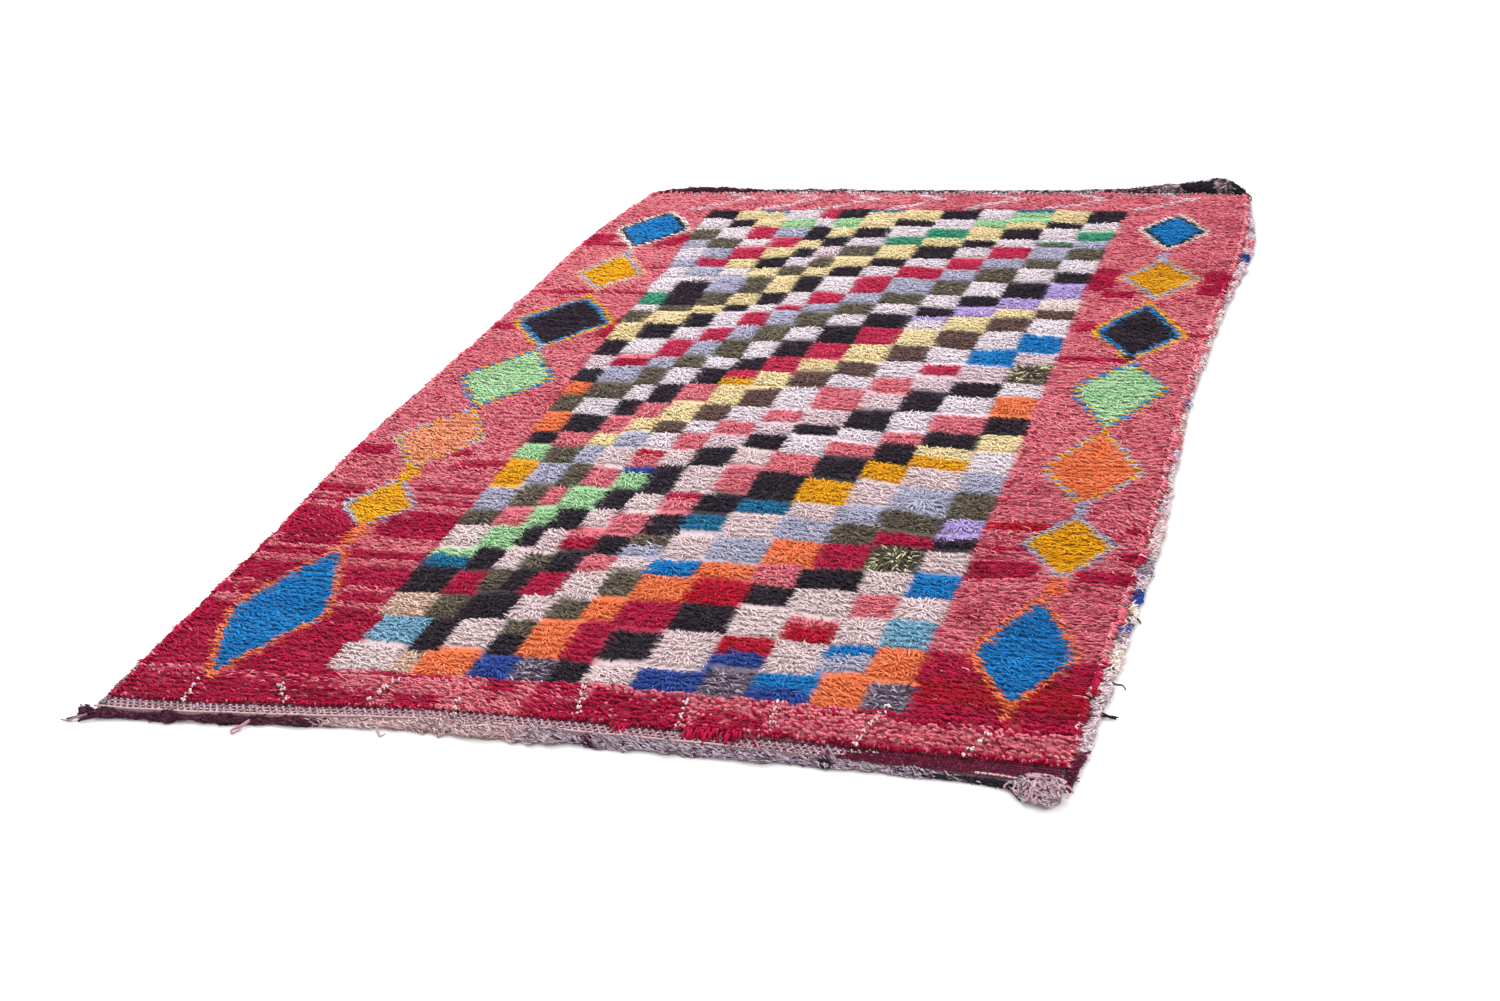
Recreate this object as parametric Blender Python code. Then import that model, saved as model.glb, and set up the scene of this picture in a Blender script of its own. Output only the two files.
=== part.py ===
# Boucherouite rug: a shaggy knotted rag rug lying flat on a surface.
# Units are metres, +Z is up and +Y runs to the far end of the rug.
# The maker's pieces are the knotted cloth with its flat-woven ends, a thick
# rag braid along each end and a rag overcast along each side.

import math
import random

import bmesh
import bpy
from mathutils import noise
from mathutils import Vector

# Driving dimensions of the knotted cloth
PILE_WIDTH = 1.560
PILE_LENGTH = 2.536
PILE_HEIGHT = 0.0195
PILE_CENTRE_X = 0.0041
PILE_CENTRE_Y = 0.0049

# The lying shag makes soft lumps with smaller ones on them, and thins
# towards the outline.
LUMP_HEIGHT = 0.0054
LUMP_LENGTH = 0.130
SMALL_LUMP_SHARE = 0.6
SMALL_LUMP_FINER = 2.3
EDGE_DROP = 0.0025
EDGE_DROP_REACH = 0.050

# The flat-woven band beyond the last row of knots at each end
BAND_THICKNESS = 0.0060

# Steps of the cloth's grid across and along, before its rim is cut finer.
# The underside's steps are whole multiples of the top's.
STEPS_ACROSS = 25
STEPS_ALONG = 45
RIM_CUTS = 1
UNDERSIDE_COARSER = 5

# Locks of shag that stand out of the rim
LOCK_REACH = 0.014
LOCK_REACH_SPREAD = 0.005
LOCK_SWAY = 0.004
LOCK_TIP_SCALE = 0.36
LOCK_DROOP = 0.0015

# Neighbouring pieces stand this far apart. Points nearer than the weld
# distance are one, and what is this near to an edge or plane lies on it.
GAP = 0.0004
WELD = 0.00002
TOUCH = 0.0001

# The overcast rag along each side
WRAP_HEIGHT = 0.0114
WRAP_SIDES = 7
WRAP_STEP = 0.030
WRAP_PITCH = 0.075
WRAP_FOLDS = 2
WRAP_FOLD_DEPTH = 0.08
WRAP_LUMP = 0.10
WRAP_PRESS = 0.90
WRAP_SUNK = 0.90
WRAP_SHORT_OF_BRAID = 0.0015
SHAG_FLOOR_AT_SIDES = 0.0126

# The braid along each end: strands, their twist and the steps along it
BRAID_STRANDS = 3
BRAID_POINTS_A_STRAND = 3
BRAID_STRAND_DEPTH = 0.13
BRAID_PITCH = 0.150
BRAID_STEP = 0.024
BRAID_LUMP = 0.06
BRAID_SUNK = 0.80

# Colours of the wools and rags, and how matt they are
CLOTH_COLOURS = {
    "rug_body": (0.60, 0.08, 0.13),
    "near_end_braid": (0.42, 0.30, 0.33),
    "far_end_braid": (0.13, 0.06, 0.08),
    "left_side_wrap": (0.30, 0.28, 0.32),
    "right_side_wrap": (0.62, 0.55, 0.60),
}
CLOTH_ROUGHNESS = 0.95

WRAP_SEED = 41
LOCK_SEED = 7
BRAID_SEED = 23

# How far the sides wander off straight, positive outwards.
# Columns: place along the pile (0 near end, 1 far end), left side, right side
SIDE_WANDER = (
    (0.00, -0.038, -0.012),
    (0.10, -0.030, -0.008),
    (0.22, -0.022, 0.000),
    (0.36, 0.002, 0.002),
    (0.50, 0.002, -0.008),
    (0.67, 0.000, -0.002),
    (0.83, 0.004, 0.012),
    (0.93, -0.010, 0.005),
    (1.00, -0.038, -0.015),
)

# How far the ends wander off straight, positive outwards, and how far the
# flat-woven bands reach past them.
# Columns: place across the pile (0 left, 1 right), near end, far end,
# near band, far band
END_WANDER = (
    (0.00, 0.028, -0.006, 0.024, 0.028),
    (0.09, 0.025, 0.006, 0.025, 0.030),
    (0.23, 0.008, 0.008, 0.027, 0.030),
    (0.38, -0.014, 0.007, 0.029, 0.030),
    (0.61, -0.014, 0.008, 0.029, 0.030),
    (0.80, -0.009, 0.008, 0.030, 0.030),
    (0.93, -0.006, 0.004, 0.036, 0.031),
    (1.00, -0.006, -0.006, 0.050, 0.032),
)

# How wide the overcast rag lies beyond each side.
# Columns: place along the pile (0 near end, 1 far end), left width, right width
WRAP_WIDTH = (
    (-0.02, 0.018, 0.026),
    (0.06, 0.020, 0.037),
    (0.12, 0.020, 0.037),
    (0.20, 0.022, 0.030),
    (0.28, 0.024, 0.032),
    (0.42, 0.022, 0.018),
    (0.58, 0.020, 0.021),
    (0.75, 0.022, 0.026),
    (0.82, 0.024, 0.034),
    (0.88, 0.024, 0.034),
    (0.95, 0.020, 0.018),
    (1.02, 0.016, 0.012),
)

# The braids along the ends, with a yarn tail at the near left corner and a
# bunched lump at each right corner.
# Columns: distance right of the pile's middle, thickness, height
NEAR_BRAID = (
    (-0.835, 0.005, 0.005),
    (-0.805, 0.008, 0.008),
    (-0.775, 0.024, 0.018),
    (-0.700, 0.022, 0.019),
    (-0.540, 0.019, 0.017),
    (-0.430, 0.018, 0.016),
    (-0.330, 0.020, 0.018),
    (-0.200, 0.024, 0.020),
    (-0.060, 0.034, 0.023),
    (0.150, 0.022, 0.020),
    (0.280, 0.029, 0.022),
    (0.420, 0.021, 0.018),
    (0.560, 0.016, 0.014),
    (0.645, 0.016, 0.015),
    (0.690, 0.038, 0.024),
    (0.735, 0.048, 0.030),
    (0.775, 0.034, 0.022),
)
FAR_BRAID = (
    (-0.765, 0.012, 0.010),
    (-0.700, 0.019, 0.017),
    (-0.600, 0.022, 0.020),
    (-0.480, 0.016, 0.014),
    (-0.300, 0.020, 0.018),
    (-0.150, 0.014, 0.013),
    (0.050, 0.016, 0.014),
    (0.300, 0.014, 0.013),
    (0.480, 0.017, 0.015),
    (0.580, 0.028, 0.024),
    (0.660, 0.038, 0.033),
    (0.720, 0.038, 0.034),
    (0.768, 0.020, 0.016),
)

HALF_WIDTH = PILE_WIDTH / 2
HALF_LENGTH = PILE_LENGTH / 2


# A smooth curve through a short table, read at any place along it
def smooth_column(table, column, place):
    last = len(table) - 1
    index = 0
    while index < last - 1 and place > table[index + 1][0]:
        index += 1
    start, end = table[index], table[index + 1]
    before, after = table[max(index - 1, 0)], table[min(index + 2, last)]
    span = end[0] - start[0]
    share = min(max((place - start[0]) / span, 0.0), 1.0)
    slope_in = (end[column] - before[column]) / (end[0] - before[0]) * span
    slope_out = (after[column] - start[column]) / (after[0] - start[0]) * span
    square, cube = share ** 2, share ** 3
    return (
        start[column] * (2 * cube - 3 * square + 1)
        + end[column] * (3 * square - 2 * cube)
        + slope_in * (cube - 2 * square + share)
        + slope_out * (cube - square)
    )


# The pile's left or right edge (side is -1 or 1) at a place along the rug
def side_edge(side, y):
    place = (y - PILE_CENTRE_Y) / PILE_LENGTH + 0.5
    wander = smooth_column(SIDE_WANDER, 1 if side < 0 else 2, place)
    return PILE_CENTRE_X + side * (HALF_WIDTH + wander)


# The pile's near or far edge (side is -1 or 1) at a place across the rug
def end_edge(side, x):
    place = (x - PILE_CENTRE_X) / PILE_WIDTH + 0.5
    wander = smooth_column(END_WANDER, 1 if side < 0 else 2, place)
    return PILE_CENTRE_Y + side * (HALF_LENGTH + wander)


# How far the flat-woven band reaches past the pile at an end
def band_length(side, x):
    place = (x - PILE_CENTRE_X) / PILE_WIDTH + 0.5
    return smooth_column(END_WANDER, 3 if side < 0 else 4, place)


# The outer edge of the flat-woven band at an end
def band_edge(side, x):
    return end_edge(side, x) + side * band_length(side, x)


# A point of the pile's outline from its share across and along. The two
# edges lean on each other, so the point is worked out a few times over.
def pile_point(across, along):
    x = PILE_CENTRE_X + (across - 0.5) * PILE_WIDTH
    y = PILE_CENTRE_Y + (along - 0.5) * PILE_LENGTH
    for _ in range(4):
        left, right = side_edge(-1, y), side_edge(1, y)
        x = left + (right - left) * across
        near, far = end_edge(-1, x), end_edge(1, x)
        y = near + (far - near) * along
    return x, y


# Height of the lying shag: soft lumps, thinner towards the outline
def pile_height(x, y, across, along):
    lump = noise.noise(Vector((x, y, 0.0)) / LUMP_LENGTH)
    small = Vector((x, y, 1.0)) * SMALL_LUMP_FINER / LUMP_LENGTH
    lump += SMALL_LUMP_SHARE * noise.noise(small)
    inside = min(
        min(across, 1 - across) * PILE_WIDTH,
        min(along, 1 - along) * PILE_LENGTH,
    )
    drop = EDGE_DROP * (1 - min(inside / EDGE_DROP_REACH, 1.0))
    return PILE_HEIGHT + LUMP_HEIGHT * lump - drop


# Matt wool or rag in a piece's own colour
def fabric(name):
    material = bpy.data.materials.new(name.replace("_", " ") + " wool")
    material.use_nodes = True
    shader = material.node_tree.nodes["Principled BSDF"]
    shader.inputs["Base Color"].default_value = (*CLOTH_COLOURS[name], 1.0)
    shader.inputs["Roughness"].default_value = CLOTH_ROUGHNESS
    shader.inputs["Metallic"].default_value = 0.0
    return material


def add_object(name, mesh, collection):
    piece = bpy.data.objects.new(name, mesh)
    mesh.materials.append(fabric(name))
    collection.objects.link(piece)


# The knotted cloth in one closed solid: lumpy top, walls, flat underside,
# thin woven bands at its ends and locks of shag out of its rim
def knotted_cloth(collection):
    bm = bmesh.new()
    lay_grid(bm, 1, pile_height)
    drop_wall(bm, shag_floor)
    drop_wall(bm, lambda x, y: 0.0)
    lay_grid(bm, UNDERSIDE_COARSER, lambda x, y, across, along: 0.0)
    bmesh.ops.remove_doubles(bm, verts=bm.verts, dist=WELD)
    bmesh.ops.recalc_face_normals(bm, faces=bm.faces)
    walls = [face for face in bm.faces if abs(face.normal.z) < 0.5]
    upper = [face for face in walls if lowest_point(face) > TOUCH]
    near_wall = [face for face in walls if lowest_point(face) < TOUCH and faces_end(face, -1)]
    far_wall = [face for face in walls if lowest_point(face) < TOUCH and faces_end(face, 1)]
    add_band(bm, near_wall, -1)
    add_band(bm, far_wall, 1)
    add_locks(bm, [face for face in upper if clears_side_rag(face)])
    bmesh.ops.triangulate(bm, faces=bm.faces, quad_method="SHORT_EDGE", ngon_method="BEAUTY")
    mesh = bpy.data.meshes.new("rug_body")
    bm.to_mesh(mesh)
    bm.free()
    add_object("rug_body", mesh, collection)


def lowest_point(face):
    return min(vert.co.z for vert in face.verts)


# Whether a wall face looks towards the near (-1) or the far (1) end
def faces_end(face, side):
    return face.normal.y * side > 0.7


# A grid in the pile's outline, its rim cut as fine for any coarseness
def lay_grid(bm, coarser, height_at):
    sheet = bmesh.new()
    across_steps, along_steps = STEPS_ACROSS // coarser, STEPS_ALONG // coarser
    bmesh.ops.create_grid(sheet, x_segments=across_steps, y_segments=along_steps, size=0.5)
    rim = [edge for edge in sheet.edges if edge.is_boundary]
    bmesh.ops.subdivide_edges(sheet, edges=rim, cuts=(RIM_CUTS + 1) * coarser - 1)
    for vert in sheet.verts:
        across, along = vert.co.x + 0.5, vert.co.y + 0.5
        x, y = pile_point(across, along)
        vert.co = (x, y, height_at(x, y, across, along))
    mesh = bpy.data.meshes.new("sheet")
    sheet.to_mesh(mesh)
    sheet.free()
    bm.from_mesh(mesh)
    bpy.data.meshes.remove(mesh)


# Height where the shag begins: above the side rags, or above the end band
def shag_floor(x, y):
    from_side = min(x - side_edge(-1, y), side_edge(1, y) - x)
    from_end = min(y - end_edge(-1, x), end_edge(1, x) - y)
    return SHAG_FLOOR_AT_SIDES if from_side < TOUCH < from_end else BAND_THICKNESS


# Whether an upper wall face may grow a lock: at the corners the shag reaches
# lower than the top of the side rags, and there the side stays plain.
def clears_side_rag(face):
    at_end = faces_end(face, -1) or faces_end(face, 1)
    return at_end or lowest_point(face) > SHAG_FLOOR_AT_SIDES - TOUCH


# The order of the locks, counted by their direction from the rug's middle
def place_on_rim(face):
    middle = face.calc_center_median()
    return math.atan2(middle.y, middle.x)


# Runs a wall down from the open rim to a height that a rule gives
def drop_wall(bm, height_at):
    rim = [edge for edge in bm.edges if edge.is_boundary]
    grown = bmesh.ops.extrude_edge_only(bm, edges=rim)["geom"]
    for vert in grown:
        if isinstance(vert, bmesh.types.BMVert):
            vert.co.z = height_at(vert.co.x, vert.co.y)


# Pulls the lower wall out at one end into the thin woven band
def add_band(bm, faces, side):
    grown = bmesh.ops.extrude_face_region(bm, geom=faces)["geom"]
    bmesh.ops.delete(bm, geom=faces, context="FACES_KEEP_BOUNDARY")
    for vert in grown:
        if isinstance(vert, bmesh.types.BMVert):
            vert.co.y += side * band_length(side, vert.co.x)


# Draws each upper face of the rim out into a tapered lock of shag
def add_locks(bm, faces):
    rng = random.Random(LOCK_SEED)
    tips = bmesh.ops.extrude_discrete_faces(bm, faces=faces)["faces"]
    for tip in sorted(tips, key=place_on_rim):
        outward = Vector((tip.normal.x, tip.normal.y, 0.0)).normalized()
        sideways = Vector((-outward.y, outward.x, 0.0))
        middle = tip.calc_center_median()
        reach = LOCK_REACH + rng.uniform(-1, 1) * LOCK_REACH_SPREAD
        sway = rng.uniform(-1, 1) * LOCK_SWAY
        droop = rng.uniform(0, 1) * LOCK_DROOP
        for vert in tip.verts:
            vert.co = middle + (vert.co - middle) * LOCK_TIP_SCALE
            vert.co += outward * reach + sideways * sway
            vert.co.z -= droop


# A closed outline for a rope's section: a circle, with strands round it
def section_guide(name, sides, strands, depth, collection):
    curve = bpy.data.curves.new(name, "CURVE")
    curve.dimensions = "2D"
    spline = curve.splines.new("POLY")
    spline.points.add(sides - 1)
    spline.use_cyclic_u = True
    for index in range(sides):
        angle = 2 * math.pi * index / sides
        radius = 1.0 + depth * math.cos(strands * angle)
        spline.points[index].co = (radius * math.cos(angle), radius * math.sin(angle), 0.0, 1.0)
    guide = bpy.data.objects.new(name, curve)
    guide.hide_render = True
    guide.display_type = "WIRE"
    collection.objects.link(guide)
    return guide


# A rope along a route of (point, radius, twist), as a closed mesh
def rope_mesh(name, route, guide, collection):
    curve = bpy.data.curves.new(name + "_route", "CURVE")
    curve.dimensions = "3D"
    curve.twist_mode = "Z_UP"
    curve.bevel_mode = "OBJECT"
    curve.bevel_object = guide
    curve.use_fill_caps = True
    spline = curve.splines.new("POLY")
    spline.points.add(len(route) - 1)
    for point, (place, radius, twist) in zip(spline.points, route):
        point.co = (*place, 1.0)
        point.radius = radius
        point.tilt = twist
    rope = bpy.data.objects.new(name + "_route", curve)
    collection.objects.link(rope)
    bpy.context.view_layer.update()
    evaluated = rope.evaluated_get(bpy.context.evaluated_depsgraph_get())
    mesh = bpy.data.meshes.new_from_object(evaluated)
    mesh.name = name
    bpy.data.objects.remove(rope)
    return mesh


# Welds a rope's caps, lets a rule move its points and turns its faces out
def finish_rope(name, mesh, move, collection):
    bm = bmesh.new()
    bm.from_mesh(mesh)
    bmesh.ops.remove_doubles(bm, verts=bm.verts, dist=WELD)
    for vert in bm.verts:
        vert.co = move(vert.co)
    bmesh.ops.recalc_face_normals(bm, faces=bm.faces)
    bm.to_mesh(mesh)
    bm.free()
    add_object(name, mesh, collection)


# The braid that closes an end, lying against the woven band
def end_braid(name, side, table, collection, guide):
    rng = random.Random(BRAID_SEED + side)
    start, end = table[0][0] + PILE_CENTRE_X, table[-1][0] + PILE_CENTRE_X
    steps = round((end - start) / BRAID_STEP)
    route = []
    for index in range(steps + 1):
        x = start + (end - start) * index / steps
        thickness = smooth_column(table, 1, x - PILE_CENTRE_X)
        radius = thickness / 2 * (1 + rng.uniform(-1, 1) * BRAID_LUMP)
        y = band_edge(side, x) + side * (GAP + radius)
        twist = 2 * math.pi * (x - start) / BRAID_PITCH
        route.append(((x, y, radius * BRAID_SUNK), radius, twist))
    mesh = rope_mesh(name, route, guide, collection)

    def settle(point):
        inner = band_edge(side, point.x) + side * GAP
        y = max(point.y, inner) if side > 0 else min(point.y, inner)
        thickness = smooth_column(table, 1, point.x - PILE_CENTRE_X)
        height = smooth_column(table, 2, point.x - PILE_CENTRE_X)
        z = point.z / (thickness / 2 * (1 + BRAID_SUNK)) * height
        return Vector((point.x, y, max(z, 0.0)))

    finish_rope(name, mesh, settle, collection)


# The straight runs of the cloth's wall at a side, bands included, from near
# to far, which the overcast rag lies against
def wall_line(side):
    share = 0 if side < 0 else 1
    steps = (RIM_CUTS + 1) * STEPS_ALONG
    line = [pile_point(share, index / steps) for index in range(steps + 1)]
    near_x, near_y = line[0]
    far_x, far_y = line[-1]
    near_y -= band_length(-1, near_x)
    far_y += band_length(1, far_x)
    return [(near_x, near_y)] + line + [(far_x, far_y)]


# Where a line of (x, y) points stands at a place along the rug
def line_x(line, y):
    index = 0
    while index < len(line) - 2 and y > line[index + 1][1]:
        index += 1
    start, end = line[index], line[index + 1]
    share = min(max((y - start[1]) / (end[1] - start[1]), 0.0), 1.0)
    return start[0] + (end[0] - start[0]) * share


# The rag overcast along a side, lying against the edge of the cloth
def side_wrap(name, side, collection, guide):
    rng = random.Random(WRAP_SEED + side)
    line = wall_line(side)
    low = line[0][1] + WRAP_SHORT_OF_BRAID
    high = line[-1][1] - WRAP_SHORT_OF_BRAID
    steps = round((high - low) / WRAP_STEP)
    route = []
    for index in range(steps + 1):
        y = low + (high - low) * index / steps
        width = wrap_width(side, y) * (1 + rng.uniform(-1, 1) * WRAP_LUMP)
        x = line_x(line, y) + side * (GAP + width / 2 * WRAP_PRESS)
        twist = 2 * math.pi * (y - low) / WRAP_PITCH
        route.append(((x, y, 0.0), width / 2, twist))
    mesh = rope_mesh(name, route, guide, collection)

    # The bar is pressed to its height, flat below and against the cloth.
    def settle(point):
        inner = line_x(line, point.y) + side * GAP
        x = max(point.x, inner) if side > 0 else min(point.x, inner)
        height = WRAP_HEIGHT / 2 * (WRAP_SUNK + 2 * point.z / wrap_width(side, point.y))
        y = min(max(point.y, low), high)
        return Vector((x, y, min(max(height, 0.0), WRAP_HEIGHT)))

    finish_rope(name, mesh, settle, collection)


# How wide the overcast rag lies at a place along the rug
def wrap_width(side, y):
    place = (y - PILE_CENTRE_Y) / PILE_LENGTH + 0.5
    return smooth_column(WRAP_WIDTH, 1 if side < 0 else 2, place)


def build():
    for old in list(bpy.data.objects):
        bpy.data.objects.remove(old, do_unlink=True)
    rug = bpy.data.collections.new("boucherouite_rug")
    guides = bpy.data.collections.new("guides")
    bpy.context.scene.collection.children.link(rug)
    bpy.context.scene.collection.children.link(guides)

    braid_sides = BRAID_STRANDS * BRAID_POINTS_A_STRAND
    braid_guide = section_guide("braid_section", braid_sides, BRAID_STRANDS, BRAID_STRAND_DEPTH, guides)
    wrap_guide = section_guide("wrap_section", WRAP_SIDES, WRAP_FOLDS, WRAP_FOLD_DEPTH, guides)

    knotted_cloth(rug)
    end_braid("near_end_braid", -1, NEAR_BRAID, rug, braid_guide)
    end_braid("far_end_braid", 1, FAR_BRAID, rug, braid_guide)
    side_wrap("left_side_wrap", -1, rug, wrap_guide)
    side_wrap("right_side_wrap", 1, rug, wrap_guide)


build()
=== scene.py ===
# Boucherouite rug: the looks of a shaggy knotted rag rug that lies flat on a pale floor.
# Lengths are metres in the part's own frame: +Z up, +Y to the far end.
import math

import bpy
import numpy as np
from mathutils import Matrix, Vector, noise


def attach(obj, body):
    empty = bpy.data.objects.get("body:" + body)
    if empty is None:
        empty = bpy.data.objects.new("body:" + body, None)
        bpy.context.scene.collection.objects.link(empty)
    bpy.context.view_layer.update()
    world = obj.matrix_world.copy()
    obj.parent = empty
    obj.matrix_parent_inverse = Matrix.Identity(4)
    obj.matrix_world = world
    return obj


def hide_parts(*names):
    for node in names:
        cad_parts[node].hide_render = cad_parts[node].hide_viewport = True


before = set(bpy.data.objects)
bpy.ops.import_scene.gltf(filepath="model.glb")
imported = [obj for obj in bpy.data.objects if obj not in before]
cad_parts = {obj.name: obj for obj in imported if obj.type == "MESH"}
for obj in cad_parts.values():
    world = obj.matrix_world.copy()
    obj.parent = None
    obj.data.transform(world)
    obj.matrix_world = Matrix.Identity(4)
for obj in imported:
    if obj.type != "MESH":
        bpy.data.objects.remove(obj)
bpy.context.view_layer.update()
mm = 0.001
upward = np.array([0.0, 0.0, 1.0])
print("frame loaded:", len(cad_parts), "nodes")


def linear(code, alpha=1.0):
    # sRGB hex to linear light: c / 12.92 when dark, else ((c + 0.055) / 1.055) ^ 2.4
    parts = [int(code[i : i + 2], 16) / 255 for i in (1, 3, 5)]
    parts = [c / 12.92 if c <= 0.04045 else ((c + 0.055) / 1.055) ** 2.4 for c in parts]
    return (*parts, alpha)


def addNode(tree, kind, inputs=None, **settings):
    # one node with its settings; an input that is a socket is linked, any other is set
    node = tree.nodes.new(kind)
    for key, value in settings.items():
        setattr(node, key, value)
    for key, value in (inputs or {}).items():
        if isinstance(value, bpy.types.NodeSocket):
            tree.links.new(value, node.inputs[key])
        else:
            node.inputs[key].default_value = value
    return node


def newMaterial(name):
    # a material with its tree and its shader
    material = bpy.data.materials.new(name)
    material.use_nodes = True
    return material, material.node_tree, material.node_tree.nodes["Principled BSDF"]


def smoothColumn(table, column, place):
    # cubic through the rows of a table: the slope at a row is that of its two neighbours
    rows = np.asarray(table, float)
    x, y = rows[:, 0], rows[:, column]
    start = np.clip(np.searchsorted(x, place, side="left") - 1, 0, len(x) - 2)
    before, after = np.maximum(start - 1, 0), np.minimum(start + 2, len(x) - 1)
    end = start + 1
    span = x[end] - x[start]
    t = np.clip((place - x[start]) / span, 0, 1)
    slopeIn = (y[end] - y[before]) / (x[end] - x[before]) * span
    slopeOut = (y[after] - y[start]) / (x[after] - x[start]) * span
    return (
        y[start] * (2 * t**3 - 3 * t**2 + 1)
        + y[end] * (3 * t**2 - 2 * t**3)
        + slopeIn * (t**3 - 2 * t**2 + t)
        + slopeOut * (t**3 - t**2)
    )


def softNoise(x, y, size, seed):
    # smooth noise from -1 to 1: lattice values blended by 3t^2 - 2t^3
    cells = np.random.default_rng(seed).uniform(-1, 1, (64, 64))
    u, v = np.asarray(x) / size + 31.7, np.asarray(y) / size + 17.3
    i, j = np.floor(u).astype(int), np.floor(v).astype(int)
    s, t = u - i, v - j
    s, t = s * s * (3 - 2 * s), t * t * (3 - 2 * t)
    low = cells[i % 64, j % 64] * (1 - s) + cells[(i + 1) % 64, j % 64] * s
    high = cells[i % 64, (j + 1) % 64] * (1 - s) + cells[(i + 1) % 64, (j + 1) % 64] * s
    return low * (1 - t) + high * t


def unit(vectors):
    # each row divided by its length
    return vectors / np.maximum(np.linalg.norm(vectors, axis=-1, keepdims=True), 1e-9)


def makePiece(name, points, triangles, material, tone=None, tiles=None):
    # triangles from arrays, smooth; tone is a number a point, tiles a bake map's corners
    mesh = bpy.data.meshes.new(name)
    mesh.vertices.add(len(points))
    mesh.vertices.foreach_set("co", np.asarray(points, np.float32).ravel())
    mesh.loops.add(triangles.size)
    mesh.loops.foreach_set("vertex_index", triangles.astype(np.int32).ravel())
    mesh.polygons.add(len(triangles))
    mesh.polygons.foreach_set("loop_start", np.arange(len(triangles), dtype=np.int32) * 3)
    mesh.update(calc_edges=True)
    mesh.shade_smooth()
    if tone is not None:
        mesh.attributes.new("tone", "FLOAT", "POINT").data.foreach_set("value", tone.astype(np.float32))
    if tiles is not None:
        mesh.uv_layers.new(name="OFBake").data.foreach_set("uv", tiles.astype(np.float32).ravel())
    mesh.materials.append(material)
    piece = bpy.data.objects.new(name, mesh)
    bpy.context.scene.collection.objects.link(piece)
    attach(piece, "root")
    return piece


# Wools and rags.

wools = {  # dark, main and light sRGB of each wool, and how much its strands differ
    "snow": ("#A894A1", "#EEE0E8", "#F7F7F7", 0.20),
    "shell": ("#A88E93", "#E7CFD1", "#F7EAEC", 0.20),
    "pale": ("#AA909A", "#E5CBD3", "#F7E6EC", 0.26),
    "cream": ("#C2A79B", "#F3E1D9", "#F7F7F7", 0.18),
    "beige": ("#997A69", "#DDBAA6", "#F7E1DB", 0.24),
    "yellow": ("#BFA260", "#F3DDA9", "#F7F1DD", 0.20),
    "gold": ("#AD6F04", "#EEA70A", "#F7C529", 0.22),
    "orange": ("#BA4A23", "#F57D49", "#F7A787", 0.22),
    "apricot": ("#B96746", "#F1956C", "#F7C0A1", 0.24),
    "scarlet": ("#7C0213", "#BE052C", "#DE1B44", 0.22),
    "raspberry": ("#891030", "#C92851", "#E25B7E", 0.22),
    "crimson": ("#660522", "#B6063E", "#D03660", 0.24),
    "rose": ("#A32A44", "#E37785", "#EE9CA2", 0.30),
    "lavender": ("#7B67A1", "#BCA5DE", "#E0D1EE", 0.18),
    "sky": ("#42708C", "#7AAFCB", "#B0CFE6", 0.26),
    "blue": ("#064A86", "#107DC7", "#38A3DD", 0.20),
    "royal": ("#152962", "#2C4A9C", "#5770B6", 0.22),
    "denim": ("#72738D", "#B5B4CC", "#E3DBE7", 0.20),
    "teal": ("#094465", "#18729C", "#4696BA", 0.24),
    "mint": ("#64A26F", "#A8D6A0", "#E0EBCE", 0.20),
    "green": ("#1C6048", "#3B9B79", "#79B99F", 0.20),
    "olive": ("#36302A", "#645A4D", "#978874", 0.28),
    "brown": ("#382625", "#684D49", "#8E6F6A", 0.22),
    "black": ("#110C13", "#281E2A", "#49384B", 0.28),
    "greyMarl": ("#2C262F", "#77697C", "#C4B0C2", 0.42),
    "strawMarl": ("#241D1D", "#605248", "#F7F7BA", 0.48),
    "maroon": ("#240A18", "#4E1C32", "#74405A", 0.28),
    "wine": ("#3A0A1E", "#6A1636", "#94395A", 0.26),
    "lilac": ("#6A5564", "#AB96A5", "#D2C0CC", 0.30),
    "blush": ("#94706F", "#D2AFB0", "#EBD3D2", 0.28),
    "mauve": ("#86616C", "#C49CA8", "#E4C9D1", 0.24),
}
woolLook = {
    "fibreSize": 1.6 * mm,  # plies of a rag yarn, as coarse as the render can show
    "roughness": 0.92,
    "sheen": 0.03,
    "specular": 0.08,
    "sheenRoughness": 0.55,
    "bump": 0.2,
}
woolMaterials = {}


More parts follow.
